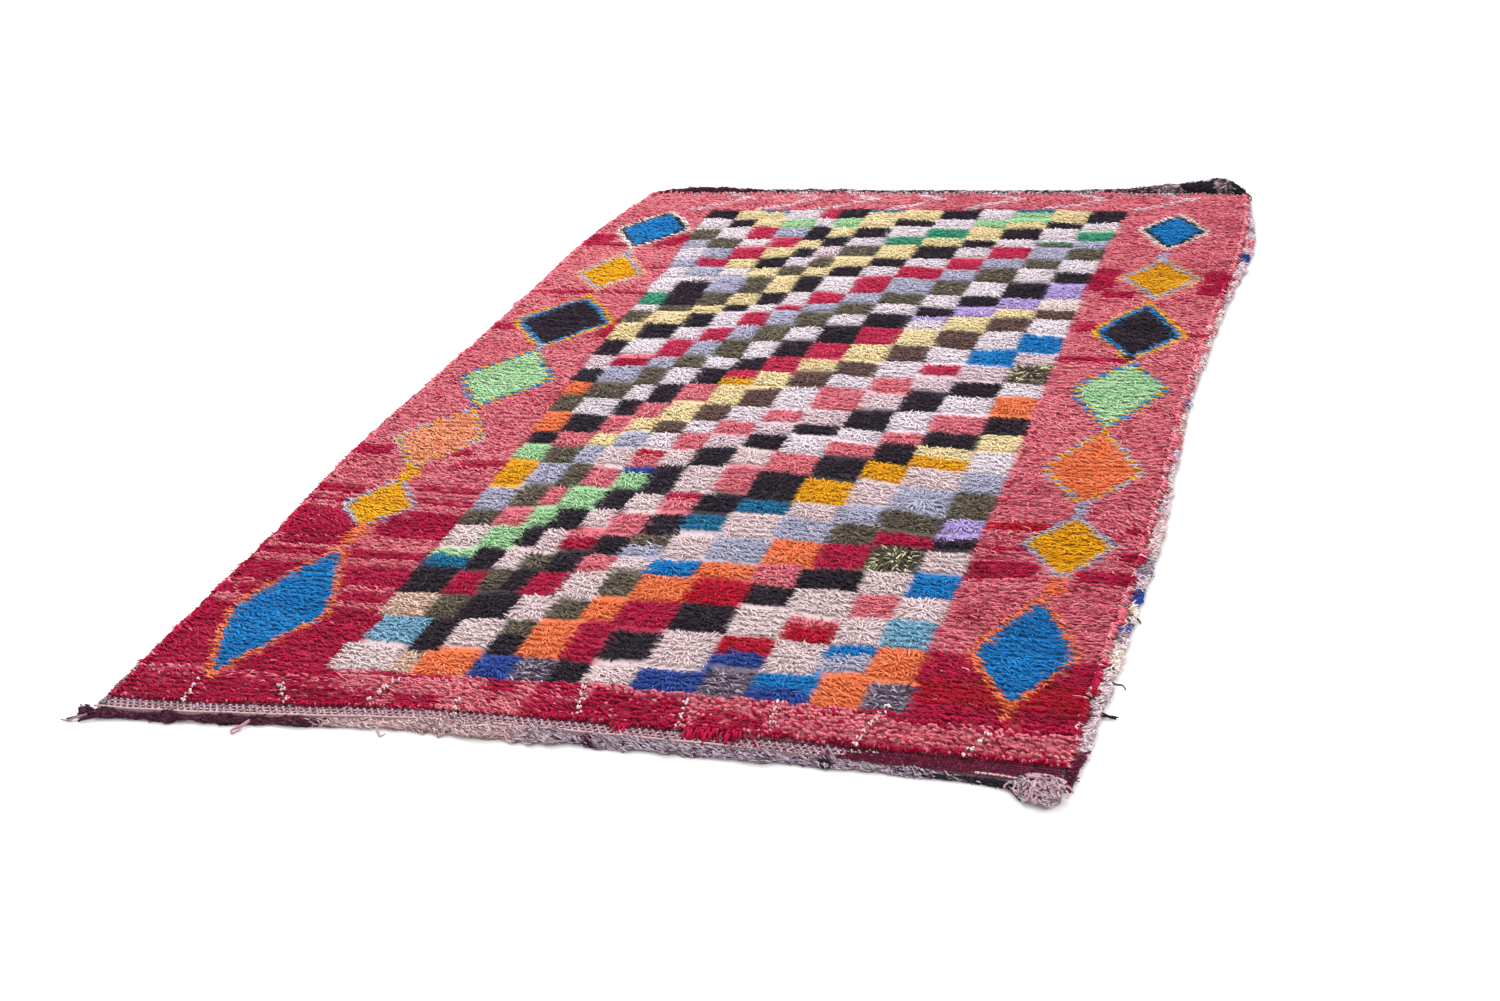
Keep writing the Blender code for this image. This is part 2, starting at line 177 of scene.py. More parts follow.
def woolMaterial(name):
    # matt spun wool and rag: each strand takes its own shade, on the pile with painted shade where two checks
    # meet; fibres mottle and roughen it
    if name in woolMaterials:
        return woolMaterials[name]
    dark, main, light, _ = wools[name]
    material, tree, shader = newMaterial(name + " spun wool")
    tone = addNode(tree, "ShaderNodeAttribute", attribute_name="tone")
    place = addNode(tree, "ShaderNodeTexCoord")
    fibres = addNode(
        tree, "ShaderNodeTexNoise",
        {"Vector": place.outputs["Object"], "Scale": 1 / woolLook["fibreSize"], "Detail": 2.0},
    )
    centred = addNode(
        tree, "ShaderNodeMath", {0: fibres.outputs["Fac"], 1: 0.5, 2: -0.25}, operation="MULTIPLY_ADD"
    )
    shade = addNode(tree, "ShaderNodeMath", {0: tone.outputs["Fac"], 1: centred.outputs[0]}, operation="ADD")
    ramp = addNode(tree, "ShaderNodeValToRGB", {"Fac": shade.outputs[0]})
    stops = ramp.color_ramp.elements
    stops[0].color, stops[1].color = linear(dark), linear(light)
    stops.new(0.5).color = linear(main)
    bump = addNode(
        tree, "ShaderNodeBump",
        {"Height": fibres.outputs["Fac"], "Strength": woolLook["bump"], "Distance": 0.5 * mm},
    )
    tree.links.new(ramp.outputs["Color"], shader.inputs["Base Color"])
    tree.links.new(bump.outputs["Normal"], shader.inputs["Normal"])
    shader.inputs["Roughness"].default_value = woolLook["roughness"]
    shader.inputs["Specular IOR Level"].default_value = woolLook["specular"]
    shader.inputs["Sheen Weight"].default_value = woolLook["sheen"]
    shader.inputs["Sheen Roughness"].default_value = woolLook["sheenRoughness"]
    woolMaterials[name] = material
    return material


strandFaces = np.array(  # root 0, bend 1 2 3 (left, right, ridge), tip 4 5 (left, right)
    [[0, 3, 1], [0, 2, 3], [0, 1, 2], [3, 4, 1], [3, 5, 4], [3, 2, 5], [1, 5, 2], [1, 4, 5]]
)
halfSquares = np.array([[[0.1, 0.1], [0.8, 0.1], [0.1, 0.8]], [[0.9, 0.9], [0.2, 0.9], [0.9, 0.2]]])
strandTile = np.concatenate(  # eight triangles laid in a tile's four squares
    [(halfSquares + [a, b]) / 2 for a in (0, 1) for b in (0, 1)]
)


def strandPiece(name, wool, root, bend, tip, up, width, tone):
    # strands of yarn: a point at the root, a ridged bend, a flat cut end as wide as the yarn
    count = len(root)
    forward = unit(tip - bend)
    side = unit(np.cross(forward, up))
    half = side * width[:, None] / 2
    ridge = bend + up * width[:, None] * 0.24
    points = np.stack([root, bend - half, bend + half, ridge, tip - half * 0.5, tip + half * 0.5], 1)
    points[..., 2] = np.maximum(points[..., 2], 0.3 * mm)
    triangles = strandFaces[None] + 6 * np.arange(count)[:, None, None]
    across = math.ceil(math.sqrt(count))
    corner = np.stack([np.arange(count) % across, np.arange(count) // across], 1)
    tiles = (strandTile[None] + corner[:, None, None, :]) / across
    return makePiece(
        name, points.reshape(-1, 3), triangles.reshape(-1, 3), woolMaterial(wool),
        np.repeat(tone, 6), tiles,
    )


# Outline of the pile, as the part's source draws it; at the left the near band is up to 10 mm longer.

pile = {
    "width": 1.560,
    "length": 2.536,
    "height": 0.0195,
    "centreX": 0.0041,
    "centreY": 0.0049,
    "lumpHeight": 0.0054,
    "lumpLength": 0.130,
    "smallLumpShare": 0.6,
    "smallLumpFiner": 2.3,
    # place along (0 near end, 1 far end), left side, right side
    "sideWander": (
        (0.00, -0.038, -0.012), (0.10, -0.030, -0.008), (0.22, -0.022, 0.000), (0.36, 0.002, 0.002),
        (0.50, 0.002, -0.008), (0.67, 0.000, -0.002), (0.83, 0.004, 0.012), (0.93, -0.010, 0.005),
        (1.00, -0.038, -0.015),
    ),
    # place across (0 left, 1 right), near end, far end, near band, far band
    "endWander": (
        (0.00, 0.028, -0.006, 0.034, 0.028), (0.09, 0.025, 0.006, 0.032, 0.030),
        (0.23, 0.008, 0.008, 0.030, 0.030), (0.38, -0.014, 0.007, 0.029, 0.030),
        (0.61, -0.014, 0.008, 0.029, 0.030), (0.80, -0.009, 0.008, 0.030, 0.030),
        (0.93, -0.006, 0.004, 0.036, 0.031), (1.00, -0.006, -0.006, 0.050, 0.032),
    ),
}


def sideEdge(side, y):
    place = (y - pile["centreY"]) / pile["length"] + 0.5
    wander = smoothColumn(pile["sideWander"], 1 if side < 0 else 2, place)
    return pile["centreX"] + side * (pile["width"] / 2 + wander)


def endEdge(side, x):
    place = (x - pile["centreX"]) / pile["width"] + 0.5
    wander = smoothColumn(pile["endWander"], 1 if side < 0 else 2, place)
    return pile["centreY"] + side * (pile["length"] / 2 + wander)


def bandEdge(side, x):
    place = (x - pile["centreX"]) / pile["width"] + 0.5
    return endEdge(side, x) + side * smoothColumn(pile["endWander"], 3 if side < 0 else 4, place)


def lumpAt(place):
    # the part's own lumps: one noise and a finer one on it
    large = noise.noise(Vector((place[0], place[1], 0)) / pile["lumpLength"])
    small = Vector((place[0], place[1], 1)) * pile["smallLumpFiner"] / pile["lumpLength"]
    return large + pile["smallLumpShare"] * noise.noise(small)


lumpX, lumpY = np.linspace(-0.82, 0.83, 84), np.linspace(-1.32, 1.32, 133)
lumps = np.array([[lumpAt((x, y)) for y in lumpY] for x in lumpX])


def pileTop(x, y):
    # the pile's height with its lumps, read between the samples in straight lines
    u = np.clip((x - lumpX[0]) / (lumpX[1] - lumpX[0]), 0, len(lumpX) - 1.001)
    v = np.clip((y - lumpY[0]) / (lumpY[1] - lumpY[0]), 0, len(lumpY) - 1.001)
    i, j = u.astype(int), v.astype(int)
    s, t = u - i, v - j
    low = lumps[i, j] * (1 - s) + lumps[i + 1, j] * s
    high = lumps[i, j + 1] * (1 - s) + lumps[i + 1, j + 1] * s
    return pile["height"] + pile["lumpHeight"] * (low * (1 - t) + high * t)


# Checks of the middle field, knotted in diagonals.

field = {
    "farEdge": (1.133, 1.151, 1.141),  # at the left, the middle and the right of the field
    "stations": (-0.436, 0.024, 0.464),
    # millimetres that each row of checks is long there, far end first
    "rowLengths": (
        (62, 70, 76), (66, 60, 64), (88, 80, 76), (80, 52, 52), (62, 96, 80), (58, 60, 70),
        (70, 72, 92), (104, 94, 90), (80, 70, 70), (42, 60, 50), (78, 80, 84), (90, 94, 94),
        (92, 86, 70), (54, 80, 92), (96, 66, 80), (74, 114, 84), (84, 74, 90), (90, 50, 74),
        (64, 70, 96), (78, 86, 80), (98, 110, 100), (106, 70, 60), (64, 100, 54), (78, 80, 96),
        (88, 66, 80), (94, 90, 74), (80, 84, 90), (92, 120, 90), (88, 66, 92),
    ),
    # millimetres across of the fourteen edges of the columns, at some of the rows
    "columnEdges": {
        0: (-540, -462, -398, -328, -242, -194, -124, -32, 64, 164, 244, 340, 426, 516),
        7: (-506, -444, -364, -288, -224, -164, -106, -26, 56, 156, 238, 326, 414, 500),
        14: (-480, -426, -338, -280, -220, -154, -86, -16, 68, 158, 240, 324, 424, 512),
        21: (-436, -372, -312, -270, -206, -146, -86, -12, 58, 152, 250, 328, 444, 520),
        25: (-430, -346, -292, -242, -202, -142, -82, -22, 74, 180, 258, 364, 434, 520),
        26: (-426, -426, -336, -286, -196, -136, -76, -12, 84, 184, 270, 358, 438, 518),
        27: (-410, -410, -320, -266, -182, -132, -62, -2, 88, 188, 274, 360, 438, 524),
        28: (-426, -426, -320, -278, -186, -122, -52, 4, 88, 194, 270, 374, 454, 524),
    },
    "edgeStray": 4.0,  # millimetres that a check's side strays
    # one wool a diagonal, from its far right check to its near left one, with the
    # weaver's changes; a/b is a far part and a near part
    "diagonals": {
        -12: "bk", -11: "yl wh", -10: "te/yl bk ol", -9: "wh yl wh dn", -8: "rd mt rd ol wh",
        -7: "bk wh dn wh dn dn", -6: "te/yl mt bk rd rd rd wh", -5: "yl yl yl yl yl yl dn wh",
        -4: "bk bk bk bk bk bk wh wh/bk gn", -3: "wh wh wh wh pl wh yl dn bk wh",
        -2: "te/mt mt wh/gn gn ol ol ol ol ol ol ol", -1: "yl mt/yl yl yl yl yl yl yl yl yl yl yl",
        0: "bk " * 13, 1: "wh " * 12 + "pl", 2: "mt/gn gn/ol " + "rd " * 9 + "rs/cr bk",
        3: "dn " * 12 + "or", 4: "ol " * 13, 5: "wh " * 12 + "or", 6: "bk " * 13,
        7: "lv lv lv lv/wh rd rd rd rd/gd rs rs rs rs mt", 8: "cm " + "yl " * 10 + "ol gd",
        9: "br " * 9 + "dn " * 4, 10: "wh " * 10 + "ol " * 3,
        11: "bl bl rd rs rs rs rs rs sc/rs rs rs rs wh",
        12: "pl pl pl pl pl pl pl wh ry/mt mt mt mt mt/te", 13: "sm " + "bk " * 12,
        14: "wh " * 11 + "cr", 15: "or rs rs rs rs rs cr/rs rs rs/cr ol ol bg",
        16: "bk " * 10 + "ol sk", 17: "yl yl/gd gd gd te te ol/dn rs cr bk bk wh",
        18: "wh " * 10 + "bg", 19: "dn dn dn dn dn bl ol ol ol/bk or",
        20: "ol ol ol or or or or or ry", 21: "lv ol/cr cr rs sc cr cr gy",
        22: "lv/bk sm bk bk bk bk bk", 23: "wh " * 6, 24: "bl rs rs/sc sc/ry ry",
        25: "wh wh wh gy", 26: "sk bl/dn bl/ry", 27: "or or", 28: "gy",
    },
    "warmWhiteFrom": 19,  # the row of checks from which the white wool is a warmer one
    "knotRow": 13.8,  # millimetres from one row of knots to the next
}
woolCodes = {
    "bk": "black", "wh": "snow", "pl": "pale", "cm": "cream", "bg": "beige", "yl": "yellow",
    "gd": "gold", "or": "orange", "sc": "scarlet", "rd": "raspberry", "cr": "crimson", "rs": "rose",
    "lv": "lavender", "sk": "sky", "bl": "blue", "ry": "royal", "dn": "denim", "te": "teal",
    "mt": "mint", "gn": "green", "ol": "olive", "br": "brown", "gy": "greyMarl", "sm": "strawMarl",
}
woolNames = list(wools)
rowCount, columnCount = 29, 13


def chartDiagonals():
    # far and near wool of each check: check (row, column from the right) is on diagonal row - column
    far = np.zeros((rowCount, columnCount), int)
    near = np.zeros((rowCount, columnCount), int)
    for diagonal, words in field["diagonals"].items():
        for step, word in enumerate(words.split()):
            column = max(0, -diagonal) + step
            row = diagonal + column
            pair = [woolCodes[code] for code in word.split("/")]
            if row >= field["warmWhiteFrom"]:
                pair = ["shell" if wool == "snow" else wool for wool in pair]
            far[row, column], near[row, column] = (woolNames.index(wool) for wool in (pair[0], pair[-1]))
    return far, near


farWool, nearWool = chartDiagonals()
edgeRows = sorted(field["columnEdges"])
edgeTable = np.array([field["columnEdges"][row] for row in edgeRows]) * mm
columnEdges = np.stack(
    [np.interp(np.arange(rowCount), edgeRows, edgeTable[:, k]) for k in range(columnCount + 1)], 1
)
patternRandom = np.random.default_rng(11)
columnEdges += patternRandom.normal(0, field["edgeStray"] * mm, columnEdges.shape) * 0.5

# Rows of knots: whole rows in each row of checks, and the two end borders.

border = {
    "farRows": 10,
    "nearRows": 8,
    "nearOverhang": 2 * mm,  # how far the last row's middle lies past the knots
    "crimsonShare": 0.10,  # odd strands of crimson in the rose ground
    # left or right border, then far edge, near edge, left edge and right edge in metres, and wool
    "patches": (
        (0.945, 0.875, -0.80, -0.72, "crimson"), (0.955, 0.865, -0.615, -0.50, "crimson"),
        (0.875, 0.850, -0.80, -0.66, "crimson"), (0.710, 0.695, -0.62, -0.50, "crimson"),
        (0.540, 0.520, -0.80, -0.47, "crimson"), (0.330, 0.290, -0.80, -0.735, "crimson"),
        (0.370, 0.250, -0.525, -0.47, "crimson"), (0.240, 0.215, -0.66, -0.60, "crimson"),
        (-0.335, -0.375, -0.80, -0.70, "crimson"), (-0.345, -0.370, -0.60, -0.53, "crimson"),
        (-0.390, -0.415, -0.545, -0.43, "crimson"), (-0.510, -0.545, -0.80, -0.64, "crimson"),
        (-0.505, -0.535, -0.57, -0.41, "crimson"), (-0.560, -0.585, -0.80, -0.41, "crimson"),
        (-0.610, -0.720, -0.80, -0.62, "crimson"), (-0.615, -0.715, -0.57, -0.40, "crimson"),
        (-0.725, -0.755, -0.74, -0.60, "crimson"), (-0.770, -0.800, -0.80, -0.40, "crimson"),
        (-0.830, -0.900, -0.80, -0.40, "crimson"), (-0.915, -0.950, -0.80, -0.40, "crimson"),
        (-0.970, -1.190, -0.80, -0.39, "crimson"),
        (0.735, 0.590, 0.50, 0.56, "crimson"), (0.720, 0.570, 0.74, 0.80, "crimson"),
        (0.590, 0.555, 0.54, 0.61, "crimson"), (0.410, 0.350, 0.50, 0.56, "crimson"),
        (0.355, 0.340, 0.73, 0.79, "crimson"), (0.215, 0.195, 0.50, 0.66, "crimson"),
        (-0.535, -0.565, 0.50, 0.625, "scarlet"), (-0.535, -0.555, 0.755, 0.80, "crimson"),
        (-0.625, -0.640, 0.50, 0.61, "crimson"), (-0.625, -0.650, 0.76, 0.82, "crimson"),
        (-0.675, -0.735, 0.50, 0.635, "crimson"), (-0.690, -0.735, 0.70, 0.80, "crimson"),
        (-0.975, -1.060, 0.50, 0.83, "crimson"), (-1.060, -1.130, 0.50, 0.83, "scarlet"),
        (-1.130, -1.180, 0.50, 0.83, "crimson"),
    ),
    # the near border: left and right edge, and from which to which of its rows the wool is crimson
    "nearPatches": (
        (-0.80, -0.375, 2.3, 8), (-0.80, -0.76, 0, 8), (-0.375, -0.30, 4.5, 8), (-0.27, -0.19, 5, 8),
        (-0.34, -0.20, 0, 1), (-0.14, -0.085, 0, 3), (-0.055, 0.055, 3.6, 8), (-0.055, 0.018, 0, 3),
        (0.04, 0.20, 1.4, 8), (0.225, 0.335, 3.4, 8), (0.335, 0.78, 7.3, 8), (0.46, 0.56, 0, 1),
    ),
    # diamonds: far tip, widest place and near tip along, middle at the tips, half width,
    # wool, inner outline, outer outline, whether the outline is dotted
    "diamonds": (
        (1.093, 0.993, 0.873, -0.640, -0.652, 0.074, "blue", "black", "cream", False),
        (0.787, 0.661, 0.561, -0.646, -0.626, 0.070, "gold", "denim", "apricot", False),
        (0.487, 0.347, 0.211, -0.630, -0.620, 0.097, "black", "blue", "gold", False),
        (0.167, 0.017, -0.123, -0.620, -0.626, 0.093, "mint", "gold", "blue", True),
        (-0.153, -0.293, -0.413, -0.630, -0.636, 0.083, "apricot", "gold", "denim", True),
        (-0.483, -0.593, -0.683, -0.630, -0.606, 0.064, "gold", "denim", "", False),
        (-0.773, -0.993, -1.203, -0.602, -0.606, 0.085, "blue", "orange", "", False),
        (1.087, 0.997, 0.893, 0.640, 0.640, 0.058, "blue", "black", "cream", False),
        (0.787, 0.677, 0.567, 0.640, 0.660, 0.072, "gold", "denim", "apricot", False),
        (0.497, 0.347, 0.237, 0.644, 0.654, 0.075, "black", "blue", "gold", False),
        (0.187, 0.057, -0.113, 0.658, 0.654, 0.082, "mint", "gold", "blue", True),
        (-0.153, -0.313, -0.443, 0.654, 0.668, 0.078, "orange", "gold", "denim", True),
        (-0.513, -0.603, -0.713, 0.668, 0.674, 0.067, "gold", "denim", "", False),
        (-0.803, -0.963, -1.113, 0.658, 0.668, 0.075, "blue", "orange", "", False),
    ),
    "outlineWidth": 0.013,
    # how much lighter or darker the wool is along each side border
    "leftFading": ((-1.26, -1.18, -0.10, 0.10, 1.30), (-0.14, 0.0, 0.0, 0.10, 0.10)),
    "rightFading": (
        (-1.26, -1.18, -0.40, -0.15, 0.45, 0.60, 1.30), (-0.20, -0.10, -0.12, 0.06, 0.06, -0.06, -0.02),
    ),
    "tails": (  # short pieces of a wool beyond a diamond's tip: middle, far edge, near edge, half width
        (-0.604, -0.675, -0.745, 0.018, "orange"), (0.672, -0.712, -0.778, 0.018, "orange"),
        (0.668, -1.113, -1.155, 0.010, "orange"), (-0.645, 0.825, 0.787, 0.012, "denim"),
        (0.640, 0.840, 0.787, 0.014, "denim"), (-0.622, 0.211, 0.170, 0.012, "denim"),
        (0.648, 0.237, 0.215, 0.010, "black"), (-0.622, -0.415, -0.485, 0.020, "gold"),
        (0.668, -0.443, -0.515, 0.012, "denim"),
    ),
    # zigzag of the far border: left ends across, and how each juts to the right
    "zigzags": (-0.545, -0.362, -0.212, -0.038, 0.155, 0.365, 0.575),
    "zigzagBend": ((0.0, 0.37, 1.0), (0.014, 0.080, -0.042)),  # from the far end to the field
    "zigzagWidth": 0.036,
    # broken lines of white tufts in the near border: from, to
    "tufts": (
        (-0.615, -1.230, -0.605, -1.290), (-0.470, -1.230, -0.435, -1.270), (-0.286, -1.190, -0.300, -1.245),
        (-0.160, -1.230, -0.150, -1.270), (0.022, -1.165, 0.042, -1.240), (0.194, -1.180, 0.204, -1.240),
        (0.334, -1.160, 0.344, -1.225), (0.496, -1.150, 0.476, -1.260), (0.655, -1.200, 0.635, -1.260),
    ),
}

stationX = np.linspace(-0.86, 0.88, 175)  # the rows of knots are worked out at these places across


def layKnotRows():
    # lines of knots along the rows: each row of checks holds a whole number of them
    lengths = np.array(field["rowLengths"]) * mm
    edges = np.array(field["farEdge"]) - np.concatenate([np.zeros((1, 3)), np.cumsum(lengths, 0)])
    edgeAt = np.stack([np.interp(stationX, field["stations"], edge) for edge in edges])
    lines, rows = [], []
    for part in (np.arange(border["farRows"]) + 0.5) / border["farRows"]:
        lines.append(endEdge(1, stationX) * (1 - part) + edgeAt[0] * part)
        rows.append(-1)
    for row in range(rowCount):
        knots = max(3, round(float(lengths[row].mean()) / (field["knotRow"] * mm)))
        for part in (np.arange(knots) + 0.5) / knots:
            lines.append(edgeAt[row] * (1 - part) + edgeAt[row + 1] * part)
            rows.append(row)
    for part in (np.arange(border["nearRows"]) + 0.5) / border["nearRows"]:
        lines.append(edgeAt[-1] * (1 - part) + (endEdge(-1, stationX) - border["nearOverhang"]) * part)
        rows.append(rowCount)
    return np.array(lines), np.array(rows), edgeAt


knotLines, checkRowOf, rowEdgeAt = layKnotRows()
print("rows of knots:", len(knotLines))


def stationOf(x):
    # the last station before each place across
    return np.clip(((x - stationX[0]) / (stationX[1] - stationX[0])).astype(int), 0, len(stationX) - 1)


def lineY(line, x, lines=knotLines):
    # where a row of knots lies at a place across
    u = np.clip((x - stationX[0]) / (stationX[1] - stationX[0]), 0, len(stationX) - 1.001)
    i = u.astype(int)
    return lines[line, i] * (1 - (u - i)) + lines[line, i + 1] * (u - i)


def headingOf(azimuth):
    # the level direction of each strand
    return np.stack([np.cos(azimuth), np.sin(azimuth), np.zeros(len(azimuth))], 1)


# at each far edge of a check the knots change one row early (-1), in time or one row late (1)
edgeShift = patternRandom.choice([-1, 0, 0, 0, 1], (rowCount + 1, columnCount))
edgeShift[[0, rowCount]] = 0
firstLine = np.array([np.flatnonzero(checkRowOf == row)[0] for row in range(rowCount)])
lastLine = np.array([np.flatnonzero(checkRowOf == row)[-1] for row in range(rowCount)])


def woolAt(x, y, line, random):
    # the wool that the pattern asks for at each knot, and the check it is in (-1 in the borders)
    wool = np.full(len(x), woolNames.index("rose"))
    row = checkRowOf[line].copy()
    inner = np.clip(row, 0, rowCount - 1)
    edges = columnEdges[inner] + random.normal(0, 1.2 * mm, (len(x), 1))
    column = columnCount - (x[:, None] > edges).sum(1)
    isField = (row >= 0) & (row < rowCount) & (column >= 0) & (column < columnCount)
    place = np.clip(column, 0, columnCount - 1)
    late = (line == firstLine[inner]) & (edgeShift[inner, place] > 0)
    early = (line == lastLine[inner]) & (edgeShift[inner + 1, place] < 0)
    moved = np.clip(inner - late + early, 0, rowCount - 1)
    column = np.clip(columnCount - (x[:, None] > columnEdges[moved]).sum(1), 0, columnCount - 1)
    station = stationOf(x)
    farY, nearY = rowEdgeAt[moved, station], rowEdgeAt[moved + 1, station]
    part = (farY - y) / (farY - nearY)
    part = part + random.normal(0, 0.05, len(x))
    half = 0.42 + 0.12 * np.sin(moved * 2.4 + column * 1.7)
    checkWool = np.where(part < half, farWool[moved, column], nearWool[moved, column])
    wool = np.where(isField, checkWool, wool)
    # borders
    outside = ~isField
    crimson = woolNames.index("crimson")
    wool = np.where(outside & (random.random(len(x)) < border["crimsonShare"]), crimson, wool)
    ragged = x + random.normal(0, 2.5 * mm, len(x))
    for far, near, left, right, name in border["patches"]:
        inPatch = outside & (y < far) & (y > near) & (ragged > left) & (ragged < right)
        keep = random.random(len(x)) < 0.985
        wool = np.where(inPatch & keep, woolNames.index(name), wool)
    nearRow = (line - (len(checkRowOf) - border["nearRows"])) + random.uniform(0, 1, len(x))
    for left, right, first, last in border["nearPatches"]:
        inPatch = (row >= rowCount) & (nearRow >= first) & (nearRow < last)
        inPatch = inPatch & (ragged > left) & (ragged < right)
        wool = np.where(inPatch & (random.random(len(x)) < 0.93), crimson, wool)
    for diamond in border["diamonds"]:
        far, widest, near, middleFar, middleNear, halfWidth, name, innerName, outerName, dotted = diamond
        along = np.where(y > widest, (y - widest) / (far - widest), (widest - y) / (widest - near))
        middle = middleFar + (middleNear - middleFar) * (far - y) / (far - near)
        stretch = border["outlineWidth"] / halfWidth
        inside = halfWidth * (1 - along**1.12) - np.abs(ragged - middle)
        dots = (line + (ragged > middle)) % 2 == 0
        if outerName:
            reach = (along < 1 + 2.2 * stretch) & outside
            outerWool = woolNames.index(outerName)
            lineWidth = border["outlineWidth"] * (1.15 if dotted else 2)
            ring = reach & (inside > -lineWidth) & (inside <= 0)
            wool = np.where(ring, outerWool, wool)
        reach = (along < 1 + 1.2 * stretch) & outside
        ring = reach & (inside > -border["outlineWidth"]) & (inside <= 0)
        ring &= ~dots if dotted else True
        wool = np.where(ring, woolNames.index(innerName), wool)
        wool = np.where(outside & (inside > 0), woolNames.index(name), wool)
    for middle, far, near, halfWidth, name in border["tails"]:
        ragTail = np.abs(ragged - middle) < halfWidth * random.uniform(0.4, 1.2, len(x))
        inTail = outside & (y < far) & (y > near) & ragTail
        wool = np.where(inTail, woolNames.index(name), wool)
    farBorder = row < 0
    part = np.clip((endEdge(1, x) - y) / 0.135, 0, 1)
    for left in border["zigzags"]:
        bent = left + np.interp(part, *border["zigzagBend"])
        inLine = farBorder & (np.abs(ragged - bent) < border["zigzagWidth"] / 2)
        wool = np.where(inLine & (random.random(len(x)) < 0.8), woolNames.index("pale"), wool)
    return wool, np.where(isField, moved, -1), np.where(isField, column, -1)


# The pile: a cut strand of yarn at a time.

strand = {
    "aRow": 480,  # strands in a row of knots from side to side
    "width": (2.9 * mm, 4.3 * mm),
    "reach": (13 * mm, 24 * mm),
    "rootDepth": 7.5 * mm,  # under the top of the pile
    "strayAlong": 6.0 * mm,
    "rowRidge": 1.6 * mm,  # how much lower the pile is between two rows
    "groove": 5.0 * mm,  # how much lower the pile is where two checks meet
    "grooveWidth": 12 * mm,
    # painted shade: how much darker the strands are where two checks meet
    "grooveShade": 0.22,
    "farSlope": (60 * mm, 6.5 * mm),  # the pile is flatter towards the far end
    "pastEdge": (1 * mm, 11 * mm),  # how far a strand may reach past its check
    "fanShares": (0.24, 0.30, 0.27, 0.19),
    "slant": -12,  # degrees that the strands lie off the rows
    "spread": 14,
    "seed": 5,
}
curl = {  # the right half of the near border: short stout curls, side by side along the rows
    "from": 0.02,
    "share": 0.62,  # of the strands of other rows
    "width": (5.6 * mm, 7.6 * mm),
    "reach": (10 * mm, 15 * mm),
    "spread": 20,
    "rise": 1.5 * mm,
}
rim = {  # locks that hang over each edge: heading in degrees, how many, and how far they reach
    "left": (180, 1900, 3 * mm, 31 * mm),
    "right": (0, 2000, 8 * mm, 26 * mm),
    "near": (-90, 900, 4 * mm, 8 * mm),
    "far": (90, 300, 2 * mm, 5 * mm),
    "clump": 0.045,
    "paleShare": 0.11,  # of the right locks are the overcasting's pale wool
    "inwards": 6 * mm,  # how far inside the edge a lock may be knotted
    "patternInset": 4 * mm,  # a lock takes the wool that the pattern has so far inside
    "rootBack": 3 * mm,
    "headingSpread": 0.42,  # radians
    "tuftShift": 3 * mm,  # how far a row's locks lean along the edge together
    "width": (3.4 * mm, 5.0 * mm),
    "lowestTip": 4 * mm,
    "seed": 41,
}


def strandTone(x, y, wool, random, streaky):
    # shade of each strand: streaks along the rows, the fading of each border, and its own
    streaks = softNoise(x, y * 7, 0.10, 9) * 0.20 + softNoise(x, y, 0.05, 10) * 0.08
    fading = np.where(
        x < pile["centreX"], np.interp(y, *border["leftFading"]), np.interp(y, *border["rightFading"])
    )
    spreads = np.array([wools[name][3] for name in woolNames])[wool]
    return 0.5 + streaky * (streaks + fading) + random.normal(0, 0.62, len(x)) * spreads


def farDrop(x, y):
    # how much lower the pile lies towards the far end
    length, depth = strand["farSlope"]
    return depth * (1 - np.clip((endEdge(1, x) - y) / length, 0, 1))


